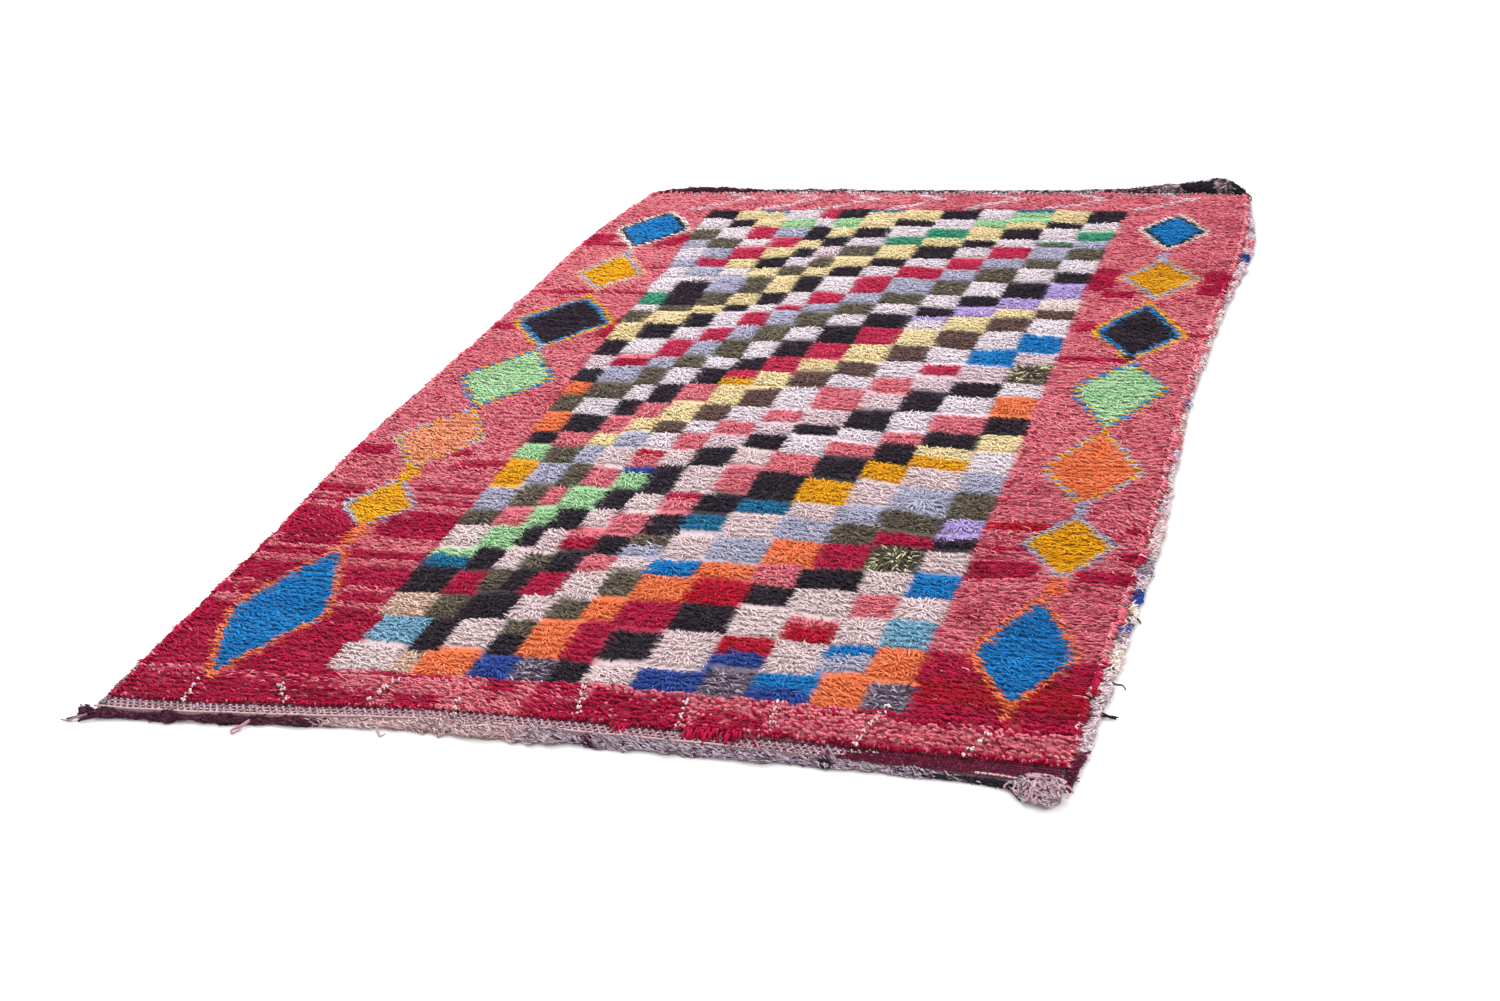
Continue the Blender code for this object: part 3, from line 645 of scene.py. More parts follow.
def growPile():
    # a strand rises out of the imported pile, bends over and ends in the lie of its check; the
    # wool is the one that the pattern asks for at the strand's middle
    random = np.random.default_rng(strand["seed"])
    lineCount, aRow = len(knotLines), strand["aRow"]
    line = np.repeat(np.arange(lineCount), aRow)
    across = (np.tile(np.arange(aRow), lineCount) + random.uniform(0.0, 1.0, len(line))) / aRow
    nearBorder = (checkRowOf[line] >= rowCount) & (across > 0.5 + curl["from"] / pile["width"])
    kept = ~nearBorder | (random.random(len(line)) < curl["share"])
    line, across, nearBorder = line[kept], across[kept], nearBorder[kept]
    x = pile["centreX"] + (across - 0.5) * pile["width"]
    y = lineY(line, x)
    left, right = sideEdge(-1, y), sideEdge(1, y)
    x = left + (right - left) * across
    offRow = random.uniform(-1, 1, len(x)) * np.where(nearBorder, 0.6, 1.0)
    y = lineY(line, x) + offRow * strand["strayAlong"]
    wool, row, column = woolAt(x, y, line, random)
    inField = row >= 0
    row, column = np.maximum(row, 0), np.maximum(column, 0)
    # the lie of each check: some fan outwards from their middle, most lie along the rows
    fanOf = patternRandom.choice((0.12, 0.35, 0.6, 0.85), (rowCount, columnCount), p=strand["fanShares"])
    fan = np.where(inField, fanOf[row, column], 0.04)
    checkLeft, checkRight = (columnEdges[row, columnCount - column - k] for k in (1, 0))
    station = stationOf(x)
    checkFar, checkNear = rowEdgeAt[row, station], rowEdgeAt[row + 1, station]
    outward = np.arctan2(y - (checkFar + checkNear) / 2, x - (checkLeft + checkRight) / 2)
    alongRow = np.where(random.random(len(x)) < 0.5, 0.0, math.pi) + math.radians(strand["slant"])
    patchTurn = softNoise(x, y, 0.12, 3) * 0.35
    spread = random.normal(0, math.radians(strand["spread"]), len(x))
    spread = spread * np.where(inField, 1.5, 1.0)
    spread = spread * np.where(nearBorder, curl["spread"] / strand["spread"], 1.0)
    azimuth = np.where(random.random(len(x)) < fan, outward + spread, alongRow + patchTurn + spread)
    heading = headingOf(azimuth)
    reach = random.uniform(*strand["reach"], len(x))
    reach = np.where(nearBorder, random.uniform(*curl["reach"], len(x)), reach)
    # a strand reaches only a little way into the next check
    past = random.uniform(*strand["pastEdge"], len(x))
    room = np.where(heading[:, 0] > 0, checkRight + past - x, x - checkLeft + past)
    roomAlong = np.where(heading[:, 1] > 0, checkFar + past - y, y - checkNear + past)
    room = np.minimum(
        room / np.maximum(np.abs(heading[:, 0]), 0.02), roomAlong / np.maximum(np.abs(heading[:, 1]), 0.02)
    )
    reach = np.where(inField, np.minimum(reach, np.maximum(room * 2, 7 * mm)), reach)
    width = random.uniform(*strand["width"], len(x))
    width = np.where(nearBorder, random.uniform(*curl["width"], len(x)), width)
    toEdge = np.minimum(
        np.minimum(x - checkLeft, checkRight - x), np.minimum(checkFar - y, y - checkNear)
    )
    groove = 1 - np.clip(toEdge / strand["grooveWidth"], 0, 1)
    lower = strand["rowRidge"] * np.abs(offRow) + np.where(inField, strand["groove"] * groove**2, 0)
    lower = lower + farDrop(x, y)
    top = pileTop(x, y) * random.uniform(0.88, 1.0, len(x)) - lower + np.where(nearBorder, curl["rise"], 0)
    middle = np.stack([x, y, top], 1)
    root = middle - heading * (reach * 0.55)[:, None]
    root[:, 2] = top - strand["rootDepth"]
    bend = middle - heading * (reach * random.uniform(0.05, 0.2, len(x)))[:, None]
    tip = middle + heading * (reach * 0.5)[:, None]
    tip[:, 2] = np.clip(top + random.uniform(-0.22, 0.06, len(x)) * reach, 4 * mm, 31 * mm)
    tone = strandTone(x, y, wool, random, np.where(inField, 0.3, 1.0))
    tone = np.where(nearBorder, 0.45 + (tone - 0.5) * 0.6, tone)
    # painted shade: strands darker towards a check's edge, in the groove where two checks meet
    tone = np.clip(tone - np.where(inField, strand["grooveShade"] * groove**1.5, 0), 0, 1)
    return wool, inField, x, root, bend, tip, width, tone


def growRim(key):
    # locks of the pile that hang over an edge, longer and shorter by the clump
    turn, count, shortest, longest = rim[key]
    random = np.random.default_rng(rim["seed"] + turn % 360)
    inwards = random.uniform(0, rim["inwards"], count)
    if key in ("left", "right"):
        side = -1 if key == "left" else 1
        line = random.integers(0, len(knotLines), count)
        y = lineY(line, np.full(count, side * pile["width"] / 2))
        y = y + random.uniform(-1, 1, count) * strand["strayAlong"]
        x = sideEdge(side, y) - side * inwards
    else:
        side = -1 if key == "near" else 1
        line = np.full(count, len(knotLines) - 1 if key == "near" else 0)
        x = pile["centreX"] + random.uniform(-0.5, 0.5, count) * (pile["width"] - 0.02)
        x = np.clip(x, sideEdge(-1, endEdge(side, x)), sideEdge(1, endEdge(side, x)))
        y = endEdge(side, x) - side * (inwards + 1 * mm)
    inX = x - math.cos(math.radians(turn)) * rim["patternInset"]
    wool, _, _ = woolAt(inX, y, line, random)
    if key == "right":
        wool = np.where(random.random(count) < rim["paleShare"], woolNames.index("pale"), wool)
    # the locks of a row of knots draw together into a tuft, one tuft longer than the next
    clump = 0.5 + 0.5 * softNoise(x, y, rim["clump"], rim["seed"])
    tuftReach = np.repeat(random.random(len(knotLines)), 2)
    tuftShift = random.normal(0, rim["tuftShift"], len(knotLines))
    length = 0.25 * clump + 0.75 * tuftReach[line] if key in ("left", "right") else clump
    reach = shortest + (longest - shortest) * np.clip(length + random.normal(0, 0.12, count), 0, 1)
    azimuth = math.radians(turn) + random.normal(0, rim["headingSpread"], count)
    heading = headingOf(azimuth)
    top = pileTop(x, y) * random.uniform(0.80, 0.97, count)
    root = np.stack([x, y, top - strand["rootDepth"]], 1) - heading * rim["rootBack"]
    bend = np.stack([x, y, top], 1) + heading * (reach * 0.35)[:, None]
    tip = np.stack([x, y, top], 1) + heading * reach[:, None]
    if key in ("left", "right"):
        rowY = lineY(line, x)
        tip[:, 1] = rowY + tuftShift[line] + (y - rowY) * 0.4 + random.normal(0, 1.5 * mm, count)
    drop = (0.35, 0.9) if key == "near" else (0.15, 0.6)
    tip[:, 2] = np.clip(top - reach * random.uniform(*drop, count), rim["lowestTip"], 30 * mm)
    width = random.uniform(*rim["width"], count)
    tone = np.clip(strandTone(x, y, wool, random, 1.0), 0, 1)
    return wool, np.zeros(count, bool), x, root, bend, tip, width, tone


tuft = {  # white tufts of the near border
    "apart": 19 * mm,
    "strands": (3, 8),
    "strayAcross": 3.0 * mm,
    "strayAlong": 3.5 * mm,
    "turn": -80,  # degrees: down the border
    "spread": 0.7,  # radians
    "reach": (6 * mm, 10 * mm),
    "rise": 1.2 * mm,
    "depth": 6 * mm,
    "width": (3.2 * mm, 4.4 * mm),
    "seed": 48,
}


def growTufts():
    # the broken lines of white tufts: a few short strands to a tuft, turned down the border
    random = np.random.default_rng(tuft["seed"])
    dots = []
    for x0, y0, x1, y1 in border["tufts"]:
        many = max(2, int(round(math.hypot(x1 - x0, y1 - y0) / tuft["apart"])) + 1)
        for part in np.linspace(0, 1, many):
            dots += [(x0 + (x1 - x0) * part, y0 + (y1 - y0) * part)] * random.integers(*tuft["strands"])
    dots = np.array(dots)
    count = len(dots)
    x = dots[:, 0] + random.normal(0, tuft["strayAcross"], count)
    y = dots[:, 1] + random.normal(0, tuft["strayAlong"], count)
    azimuth = math.radians(tuft["turn"]) + random.normal(0, tuft["spread"], count)
    heading = headingOf(azimuth)
    reach, top = random.uniform(*tuft["reach"], count), pileTop(x, y) + tuft["rise"]
    root = np.stack([x, y, top - tuft["depth"]], 1) - heading * (reach * 0.5)[:, None]
    bend = np.stack([x, y, top + 1 * mm], 1)
    tip = np.stack([x, y, top - 1 * mm], 1) + heading * (reach * 0.6)[:, None]
    wool = np.where(random.random(count) < 0.5, woolNames.index("shell"), woolNames.index("blush"))
    width, tone = random.uniform(*tuft["width"], count), random.uniform(0.2, 0.8, count)
    return wool, np.zeros(count, bool), x, root, bend, tip, width, tone


batches = [growPile(), growRim("left"), growRim("right"), growRim("near"), growRim("far"), growTufts()]
wool, inField, rootX, root, bend, tip, width, tone = (np.concatenate(part) for part in zip(*batches))
up = np.broadcast_to(upward, root.shape)
for index in np.unique(wool):
    name = woolNames[index]
    chosen = wool == index
    if name == "rose":
        parts = {
            "pile_rose_left": chosen & ~inField & (rootX < -0.35) & (np.abs(root[:, 1]) < 1.13),
            "pile_rose_right": chosen & ~inField & (rootX > 0.45) & (np.abs(root[:, 1]) < 1.13),
        }
        parts["pile_rose_ends"] = chosen & ~parts["pile_rose_left"] & ~parts["pile_rose_right"]
    else:
        parts = {"pile_" + name: chosen}
    for pieceName, picked in parts.items():
        strandPiece(
            pieceName, name, root[picked], bend[picked], tip[picked], up[picked],
            width[picked], tone[picked],
        )
        print(pieceName, int(picked.sum()), "strands")

# The ground weave under the knots, with a woven band at each end.

ground = {
    "packedDepth": 6.2 * mm,  # the knots and the lower pile, packed: so far under the pile's top
    "stepsAcross": 78,
    "bandTop": {-1: 11.5 * mm, 1: 5.4 * mm},  # at the near and at the far end
    "shadow": 0.68,  # share of the wool's light left between the strands
    "bandWool": "mauve",
    "wineFrom": 0.444,  # right of this the near band is knotted in dark wine wool
    "flat": (1.555, 2.590),  # cut size: across the cords at the sides, along to the last weft
    "underside": "#B49A98",
    "seed": 21,
}


def weaveGround():
    # a closed slab in the rug's outline: the same grid above and below, joined round the rim
    lines = np.concatenate([
        [bandEdge(1, stationX), endEdge(1, stationX) + 4 * mm],
        knotLines,
        [endEdge(-1, stationX) - 2 * mm, bandEdge(-1, stationX)],
    ])
    steps = ground["stepsAcross"] + 1
    across = np.linspace(0, 1, steps)
    rows = len(lines)
    x = np.tile(pile["centreX"] + (across - 0.5) * pile["width"], (rows, 1))
    rowIndex = np.tile(np.arange(rows)[:, None], (1, steps))
    for _ in range(3):
        y = lineY(rowIndex, x, lines)
        left, right = sideEdge(-1, y) + 3 * mm, sideEdge(1, y) - 3 * mm
        x = left + (right - left) * across[None]
    return x, y, rows, steps


groundX, groundY, groundRows, groundSteps = weaveGround()
groundRandom = np.random.default_rng(ground["seed"])
flatLine = np.clip(np.repeat(np.arange(groundRows), groundSteps) - 2, 0, len(knotLines) - 1)
groundWool, _, _ = woolAt(groundX.ravel(), groundY.ravel(), flatLine, groundRandom)
mainColours = np.array([linear(wools[name][1])[:3] for name in woolNames])
rowNumber = np.repeat(np.arange(groundRows), groundSteps)
isBand = (rowNumber < 2) | (rowNumber >= groundRows - 2)
# painted shade: the ground under the pile takes its knots' wool darkened to the shadow share, and the bands'
# ground takes its wool at half brightness, for the shade between strands and stitches
shadedGroundColour = mainColours[groundWool] * ground["shadow"]
isWine = (groundX.ravel() > ground["wineFrom"]) & (groundY.ravel() < 0)
bandColour = np.where(
    isWine[:, None], mainColours[woolNames.index("wine")], mainColours[woolNames.index(ground["bandWool"])]
)
shadedGroundColour = np.where(isBand[:, None], bandColour * 0.5, shadedGroundColour)
count = groundRows * groundSteps
packedTop = pileTop(groundX.ravel(), groundY.ravel()) - ground["packedDepth"]
packedTop = packedTop - farDrop(groundX.ravel(), groundY.ravel())
bandTop = np.where(rowNumber < 2, ground["bandTop"][1], ground["bandTop"][-1])
groundTop = np.where(isBand, bandTop, packedTop)
topPoints = np.stack([groundX.ravel(), groundY.ravel(), groundTop], 1)
lowPoints = topPoints * [1, 1, 0] + [0, 0, 0.2 * mm]
grid = np.arange(count).reshape(groundRows, groundSteps)
a, b, c, d = grid[:-1, :-1].ravel(), grid[:-1, 1:].ravel(), grid[1:, 1:].ravel(), grid[1:, :-1].ravel()
topFaces = np.concatenate([np.stack([a, c, b], 1), np.stack([a, d, c], 1)])
edge = np.concatenate([grid[0, :-1], grid[:-1, -1], grid[-1, :0:-1], grid[:0:-1, 0]])
nextEdge = np.roll(edge, -1)
wallFaces = np.concatenate([
    np.stack([edge, nextEdge, nextEdge + count], 1), np.stack([edge, nextEdge + count, edge + count], 1)
])
groundFaces = np.concatenate([topFaces, topFaces[:, ::-1] + count, wallFaces])


weaveLook = {
    "grain": 3 * mm,
    "warp": 5.0 * mm,
    "weft": 4.0 * mm,
    "ripple": 0.4,
    "bump": 0.6,
    "bumpDepth": 1.0 * mm,
    "roughness": 0.95,
}


def weaveMaterial():
    # plain-woven wool ground: the knots' wools with painted shade, darkened where the ground shows between
    # the strands; warp and weft ripple
    material, tree, shader = newMaterial("plain woven wool ground")
    colour = addNode(tree, "ShaderNodeAttribute", attribute_name="woolAndShade")
    place = addNode(tree, "ShaderNodeTexCoord")
    grain = addNode(
        tree, "ShaderNodeTexNoise",
        {"Vector": place.outputs["Object"], "Scale": 1 / weaveLook["grain"], "Detail": 2.0},
    )
    mixed = addNode(
        tree, "ShaderNodeMix",
        {0: 0.5, 6: colour.outputs["Color"], 7: grain.outputs["Color"]},
        data_type="RGBA", blend_type="SOFT_LIGHT",
    )
    ripples = [
        addNode(
            tree, "ShaderNodeTexWave",
            {
                "Vector": place.outputs["Object"], "Scale": 1 / (20 * weaveLook[thread]),
                "Distortion": weaveLook["ripple"],
            },
            bands_direction=direction,
        ).outputs["Fac"]
        for thread, direction in (("warp", "X"), ("weft", "Y"))
    ]
    height = addNode(tree, "ShaderNodeMath", {0: ripples[0], 1: ripples[1]}, operation="ADD")
    bump = addNode(
        tree, "ShaderNodeBump",
        {"Height": height.outputs[0], "Strength": weaveLook["bump"], "Distance": weaveLook["bumpDepth"]},
    )
    tree.links.new(mixed.outputs[2], shader.inputs["Base Color"])
    tree.links.new(bump.outputs["Normal"], shader.inputs["Normal"])
    shader.inputs["Roughness"].default_value = weaveLook["roughness"]
    return material


groundPiece = makePiece(
    "ground_weave", np.concatenate([topPoints, lowPoints]), groundFaces, weaveMaterial()
)
colours = groundPiece.data.attributes.new("woolAndShade", "FLOAT_COLOR", "POINT")
rgba = np.concatenate([shadedGroundColour, np.ones((count, 1))], 1)
under = np.tile([*linear(ground["underside"])[:3], 1.0], (count, 1))
colours.data.foreach_set("color", np.concatenate([rgba, under]).astype(np.float32).ravel())
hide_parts("rug_body")
print("ground weave:", len(groundFaces), "triangles")

# The woven bands: rows of twined stitches, and a cord in two lengths along the near band's edge by the braid.

band = {
    "stitch": 7.5 * mm,
    "pitch": 5.6 * mm,
    "width": (3.8 * mm, 4.8 * mm),
    "slant": 28,  # degrees, the other way in every second row
    "cordRadius": 1.8 * mm,
    "cords": ((-0.752, 0.285), (0.655, 0.722)),
    # rows from the pile to the braid: the wools of its odd and its even stitches
    "nearRows": (
        ("maroon", "wine"), ("mauve", "maroon"), ("mauve", "mauve"), ("maroon", "mauve"),
        ("mauve", "blush"), ("mauve", "maroon"), ("blush", "mauve"),
    ),
    "farRows": (("maroon", "lilac"), ("blush", "maroon"), ("lilac", "lilac"), ("maroon", "blush")),
    "seed": 51,
}


def twineBand(side, rows, name):
    random = np.random.default_rng(band["seed"] + side)
    aRow = int(pile["width"] / band["pitch"]) - 1
    row = np.repeat(np.arange(len(rows)), aRow)
    step = np.tile(np.arange(aRow), len(rows))
    x = pile["centreX"] - pile["width"] / 2 + (step + 2 + 0.5 * (row % 2)) * band["pitch"]
    x = x + random.normal(0, 0.7 * mm, len(x))
    part = (row + 0.5) / len(rows)
    y = endEdge(side, x) + (bandEdge(side, x) - endEdge(side, x)) * part
    inside = (x > sideEdge(-1, y) + 2 * mm) & (x < sideEdge(1, y) + 4 * mm)
    wool = np.array([[woolNames.index(key) for key in pair] for pair in rows])[row, step % 2]
    dice = random.random(len(x))
    wool = np.where(dice < 0.06, woolNames.index("lilac"), wool)
    if side < 0:
        isWine = x + random.normal(0, 8 * mm, len(x)) - (1 - part) * 0.10 > ground["wineFrom"] - 0.02
        wool = np.where(isWine, woolNames.index("wine"), wool)
    turn = np.radians(band["slant"] * np.where(row % 2 == 0, 1, -1) + random.normal(0, 8, len(x)))
    heading = headingOf(turn) * band["stitch"] / 2
    middle = np.stack([x, y, np.full(len(x), ground["bandTop"][side])], 1)
    root, tip = middle - heading - upward * 1.2 * mm, middle + heading - upward * 0.2 * mm
    bend = middle - heading * 0.2 + upward * 1.1 * mm
    width = random.uniform(*band["width"], len(x))
    tone = np.clip(0.5 + random.normal(0, 0.2, len(x)), 0, 1)
    for index in np.unique(wool[inside]):
        picked = inside & (wool == index)
        strandPiece(
            name + "_" + woolNames[index], woolNames[index], root[picked], bend[picked],
            tip[picked], np.broadcast_to(upward, (picked.sum(), 3)), width[picked], tone[picked],
        )
    print(name, int(inside.sum()), "stitches")


twineBand(-1, band["nearRows"], "near_band")
twineBand(1, band["farRows"], "far_band")


def tubeFaces(steps, sides):
    # a tube's triangles: rings of points, then the middle of its first and of its last ring
    grid = np.arange(steps * sides).reshape(steps, sides)
    turned = np.roll(grid, -1, 1)
    a, b, c, d = grid[:-1].ravel(), turned[:-1].ravel(), turned[1:].ravel(), grid[1:].ravel()
    first, last = np.full(sides, steps * sides), np.full(sides, steps * sides + 1)
    return np.concatenate([
        np.stack([a, b, c], 1), np.stack([a, c, d], 1),
        np.stack([turned[0], grid[0], first], 1), np.stack([grid[-1], turned[-1], last], 1),
    ])


def outwardVolume(points, faces):
    # six times the volume inside: positive when the faces point outwards
    a, b, c = points[faces[:, 0]], points[faces[:, 1]], points[faces[:, 2]]
    return float(np.einsum("ij,ij->i", a, np.cross(b, c)).sum())


def tubePiece(name, wool, lines, radius, tone):
    # yarns as closed tubes of six sides, a radius at each point of each line
    count, steps, sides = lines.shape[0], lines.shape[1], 6
    forward = unit(np.gradient(lines, axis=1))
    across = unit(np.cross(forward, upward + forward[..., [2, 0, 1]] * 0.05))
    over = np.cross(across, forward)
    angle = np.arange(sides) * 2 * math.pi / sides
    ring = across[:, :, None] * np.cos(angle)[:, None] + over[:, :, None] * np.sin(angle)[:, None]
    rings = lines[:, :, None] + ring * radius[:, :, None, None]
    ends = lines[:, [0, -1]]
    points = np.concatenate([rings.reshape(count, -1, 3), ends], 1)
    faces = tubeFaces(steps, sides)
    if outwardVolume(points[0], faces) < 0:
        faces = faces[:, ::-1]
    faces = faces[None] + (steps * sides + 2) * np.arange(count)[:, None, None]
    return makePiece(
        name, points.reshape(-1, 3), faces.reshape(-1, 3), woolMaterial(wool),
        np.repeat(tone, steps * sides + 2),
    )


for part, (left, right) in enumerate(band["cords"]):
    cordX = np.linspace(left, right, 40 + int((right - left) / (7 * mm)))
    cordY = bandEdge(-1, cordX) + 2.4 * mm
    cordZ = np.full_like(cordX, ground["bandTop"][-1] + 0.4 * mm)
    cordLine = np.stack([cordX, cordY + 0.6 * mm * np.sin(cordX * 2 * math.pi / 0.11), cordZ], 1)
    cordRadius = band["cordRadius"] * (1 + 0.20 * np.sin(cordX * 2 * math.pi / (9 * mm)))
    tubePiece(
        f"near_band_cord_{part}", "blush", cordLine[None], cordRadius[None], np.array([0.42])
    )

# Ropes of rag: the braid at each end and the overcasting along each side.

def feltMaterial():
    # felted rag yarn: the imported inside of a braid, its wool colour with painted shade, dark where it shows
    # between the strands that cover it
    material = weaveMaterial()
    material.name = "felted rag yarn"
    return material


braid = {
    "twist": 2 * math.pi / 0.150,
    "lobes": 3,
    "sunk": 0.80,
    "reach": (8 * mm, 18 * mm),
    "looseShare": 0.35,
    # painted shade: share of its wool's colour that the core keeps
    "shadow": 0.40,
}
overcast = {
    "twist": 2 * math.pi / 0.075,
    "lobes": 2,
    "lobeDepth": 0.08,
    "sunk": 0.90,
    "height": 11.4 * mm,
    "width": (2.8 * mm, 4.4 * mm),
    "around": 0.85,
    "from": (0.9, math.pi - 0.2),
    "looseShare": 0.35,
    "crossing": 0.16,
    "stray": 6 * mm,
    "lumpLength": 0.030,
    "tuft": 0.012,
    "tuftShare": 0.75,
    # painted shade: share of its wool's colour that the core keeps
    "shadow": 0.45,
}
braidNear = {
    **braid,
    "side": -1,
    "node": "near_end_braid",
    "slot": "near_braid_yarn",
    "lobeDepth": 0.22,
    "strands": 4200,
    "width": (1.8 * mm, 2.9 * mm),
    "around": 0.40,  # share of a strand's way that goes round the rope
    "from": (-0.6, math.pi + 0.1),  # where round the rope the strands begin: 0 is its outer side
    "crossing": 0.32,
    "stray": 5 * mm,
    "lump": 0.62,
    "lumpLength": 0.015,
    "tuft": 0.012,
    "tuftShare": 0.5,
    "seed": 31,
    # distance right of the pile's middle, thickness, height
    "shape": (
        (-0.775, 0.017, 0.013), (-0.700, 0.019, 0.015), (-0.540, 0.017, 0.014), (-0.430, 0.016, 0.013),
        (-0.330, 0.019, 0.015), (-0.200, 0.022, 0.017), (-0.060, 0.030, 0.020), (0.150, 0.021, 0.016),
        (0.280, 0.024, 0.018), (0.420, 0.016, 0.014), (0.560, 0.013, 0.012), (0.690, 0.013, 0.012),
        (0.712, 0.030, 0.022), (0.742, 0.046, 0.028), (0.776, 0.034, 0.022),
    ),
    # where each stretch starts, and its wools with their shares
    "stretches": (
        (-0.90, {"maroon": 1.0}),
        (-0.380, {"maroon": 0.45, "blush": 0.55}),
        (-0.355, {"blush": 0.80, "mauve": 0.20}),
        (-0.03, {"blush": 0.30, "lilac": 0.66, "black": 0.04}),
        (0.02, {"lilac": 0.92, "maroon": 0.08}),
        (0.255, {"lilac": 0.82, "black": 0.18}),
        (0.275, {"lilac": 0.94, "maroon": 0.06}),
        (0.335, {"lilac": 0.80, "black": 0.20}),
        (0.360, {"lilac": 0.90, "black": 0.10}),
        (0.590, {"black": 0.96, "lilac": 0.04}),
        (0.712, {"lilac": 0.62, "blush": 0.28, "maroon": 0.10}),
    ),
}
braidFar = {
    **braid,
    "side": 1,
    "node": "far_end_braid",
    "slot": "far_braid_yarn",
    "lobeDepth": 0.14,
    "strands": 2800,
    "width": (2.0 * mm, 3.2 * mm),
    "around": 0.25,
    "from": (-0.4, math.pi + 0.1),
    "crossing": 0.30,
    "stray": 6 * mm,
    "lump": 0.26,
    "lumpLength": 0.024,
    "tuft": 0.010,
    "tuftShare": 0.4,
    "seed": 33,
    "shape": (
        (-0.765, 0.012, 0.010), (-0.700, 0.018, 0.015), (-0.600, 0.021, 0.018), (-0.480, 0.015, 0.012),
        (-0.300, 0.017, 0.012), (-0.150, 0.014, 0.010), (0.050, 0.015, 0.010), (0.300, 0.014, 0.010),
        (0.480, 0.017, 0.015), (0.580, 0.028, 0.024), (0.660, 0.038, 0.033), (0.720, 0.038, 0.034),
        (0.768, 0.020, 0.016),
    ),
    "stretches": (
        (-0.80, {"maroon": 0.90, "black": 0.10}),
        (-0.46, {"lilac": 0.50, "black": 0.35, "maroon": 0.15}),
        (-0.25, {"lilac": 0.42, "black": 0.30, "maroon": 0.16, "pale": 0.12}),
        (0.10, {"lilac": 0.45, "black": 0.28, "maroon": 0.12, "pale": 0.15}),
        (0.42, {"maroon": 0.45, "black": 0.20, "lilac": 0.35}),
        (0.55, {"lilac": 0.55, "black": 0.35, "blush": 0.10}),
        (0.615, {"black": 1.0}),
        (0.700, {"black": 0.30, "blush": 0.40, "lilac": 0.30}),
        (0.725, {"black": 0.95, "lilac": 0.05}),
    ),
}
overcastRight = {
    **overcast,
    "side": 1,
    "node": "right_side_wrap",
    "slot": "right_overcast_rag",
    "ends": (-1.302, 1.297),
    "strands": 3200,
    "reach": (10 * mm, 20 * mm),
    "lump": 0.30,
    "seed": 35,
    # place along (0 near end, 1 far end), width
    "shape": (
        (-0.02, 0.020), (0.03, 0.028), (0.12, 0.033), (0.20, 0.029), (0.28, 0.031), (0.42, 0.018),
        (0.58, 0.021), (0.75, 0.026), (0.82, 0.034), (0.88, 0.034), (0.95, 0.018), (1.02, 0.012),
    ),
    "stretches": (
        (-0.03, {"wine": 0.72, "maroon": 0.28}),
        (0.018, {"denim": 0.35, "pale": 0.65}),
        (0.045, {"shell": 0.50, "pale": 0.35, "black": 0.15}),
        (0.075, {"pale": 0.60, "denim": 0.20, "shell": 0.20}),
        (0.105, {"cream": 0.45, "shell": 0.45, "black": 0.10}),
        (0.140, {"pale": 0.60, "lilac": 0.25, "royal": 0.15}),
        (0.166, {"cream": 0.50, "black": 0.40, "gold": 0.10}),
        (0.190, {"royal": 0.80, "pale": 0.20}),
        (0.210, {"pale": 0.50, "royal": 0.22, "lilac": 0.28}),
        (0.252, {"shell": 0.68, "rose": 0.32}),
        (0.305, {"pale": 0.45, "maroon": 0.15, "rose": 0.40}),
        (0.338, {"shell": 0.45, "pale": 0.55}),
        (0.395, {"denim": 0.50, "pale": 0.50}),
        (0.425, {"blush": 0.40, "cream": 0.45, "rose": 0.15}),
        (0.497, {"royal": 0.60, "cream": 0.40}),
        (0.507, {"pale": 0.50, "cream": 0.30, "rose": 0.20}),
        (0.660, {"cream": 0.45, "black": 0.12, "shell": 0.43}),
        (0.700, {"pale": 0.60, "rose": 0.15, "shell": 0.25}),
        (0.775, {"shell": 0.30, "pale": 0.60, "black": 0.10}),
        (0.815, {"royal": 0.50, "pale": 0.50}),
        (0.835, {"pale": 0.60, "rose": 0.15, "shell": 0.25}),
        (0.893, {"black": 0.45, "lilac": 0.55}),
        (0.908, {"lavender": 0.45, "pale": 0.55}),
        (0.975, {"black": 0.85, "maroon": 0.15}),
    ),
}
overcastLeft = {
    **overcast,
    "side": -1,
    "node": "left_side_wrap",
    "slot": "left_overcast_rag",
    "ends": (-1.310, 1.295),
    "strands": 1800,
    "reach": (9 * mm, 18 * mm),
    "lump": 0.25,
    "seed": 37,
    "shape": (
        (-0.02, 0.018), (0.06, 0.020), (0.12, 0.020), (0.20, 0.022), (0.28, 0.024), (0.42, 0.022),
        (0.58, 0.020), (0.75, 0.022), (0.82, 0.024), (0.88, 0.024), (0.95, 0.020), (1.02, 0.016),
    ),
    "stretches": (
        (-0.03, {"crimson": 0.40, "lilac": 0.35, "maroon": 0.25}),
        (0.03, {"crimson": 0.60, "rose": 0.25, "lilac": 0.15}),
        (0.30, {"crimson": 0.40, "rose": 0.45, "lilac": 0.15}),
        (0.335, {"teal": 0.30, "rose": 0.50, "black": 0.20}),
        (0.36, {"rose": 0.62, "crimson": 0.20, "lilac": 0.18}),
        (0.65, {"pale": 0.55, "rose": 0.45}),
        (0.69, {"rose": 0.70, "crimson": 0.15, "lilac": 0.15}),
        (0.88, {"black": 0.60, "rose": 0.40}),
        (0.905, {"pale": 0.45, "lilac": 0.30, "rose": 0.25}),
        (0.945, {"rose": 0.40, "black": 0.35, "lilac": 0.25}),
    ),
}


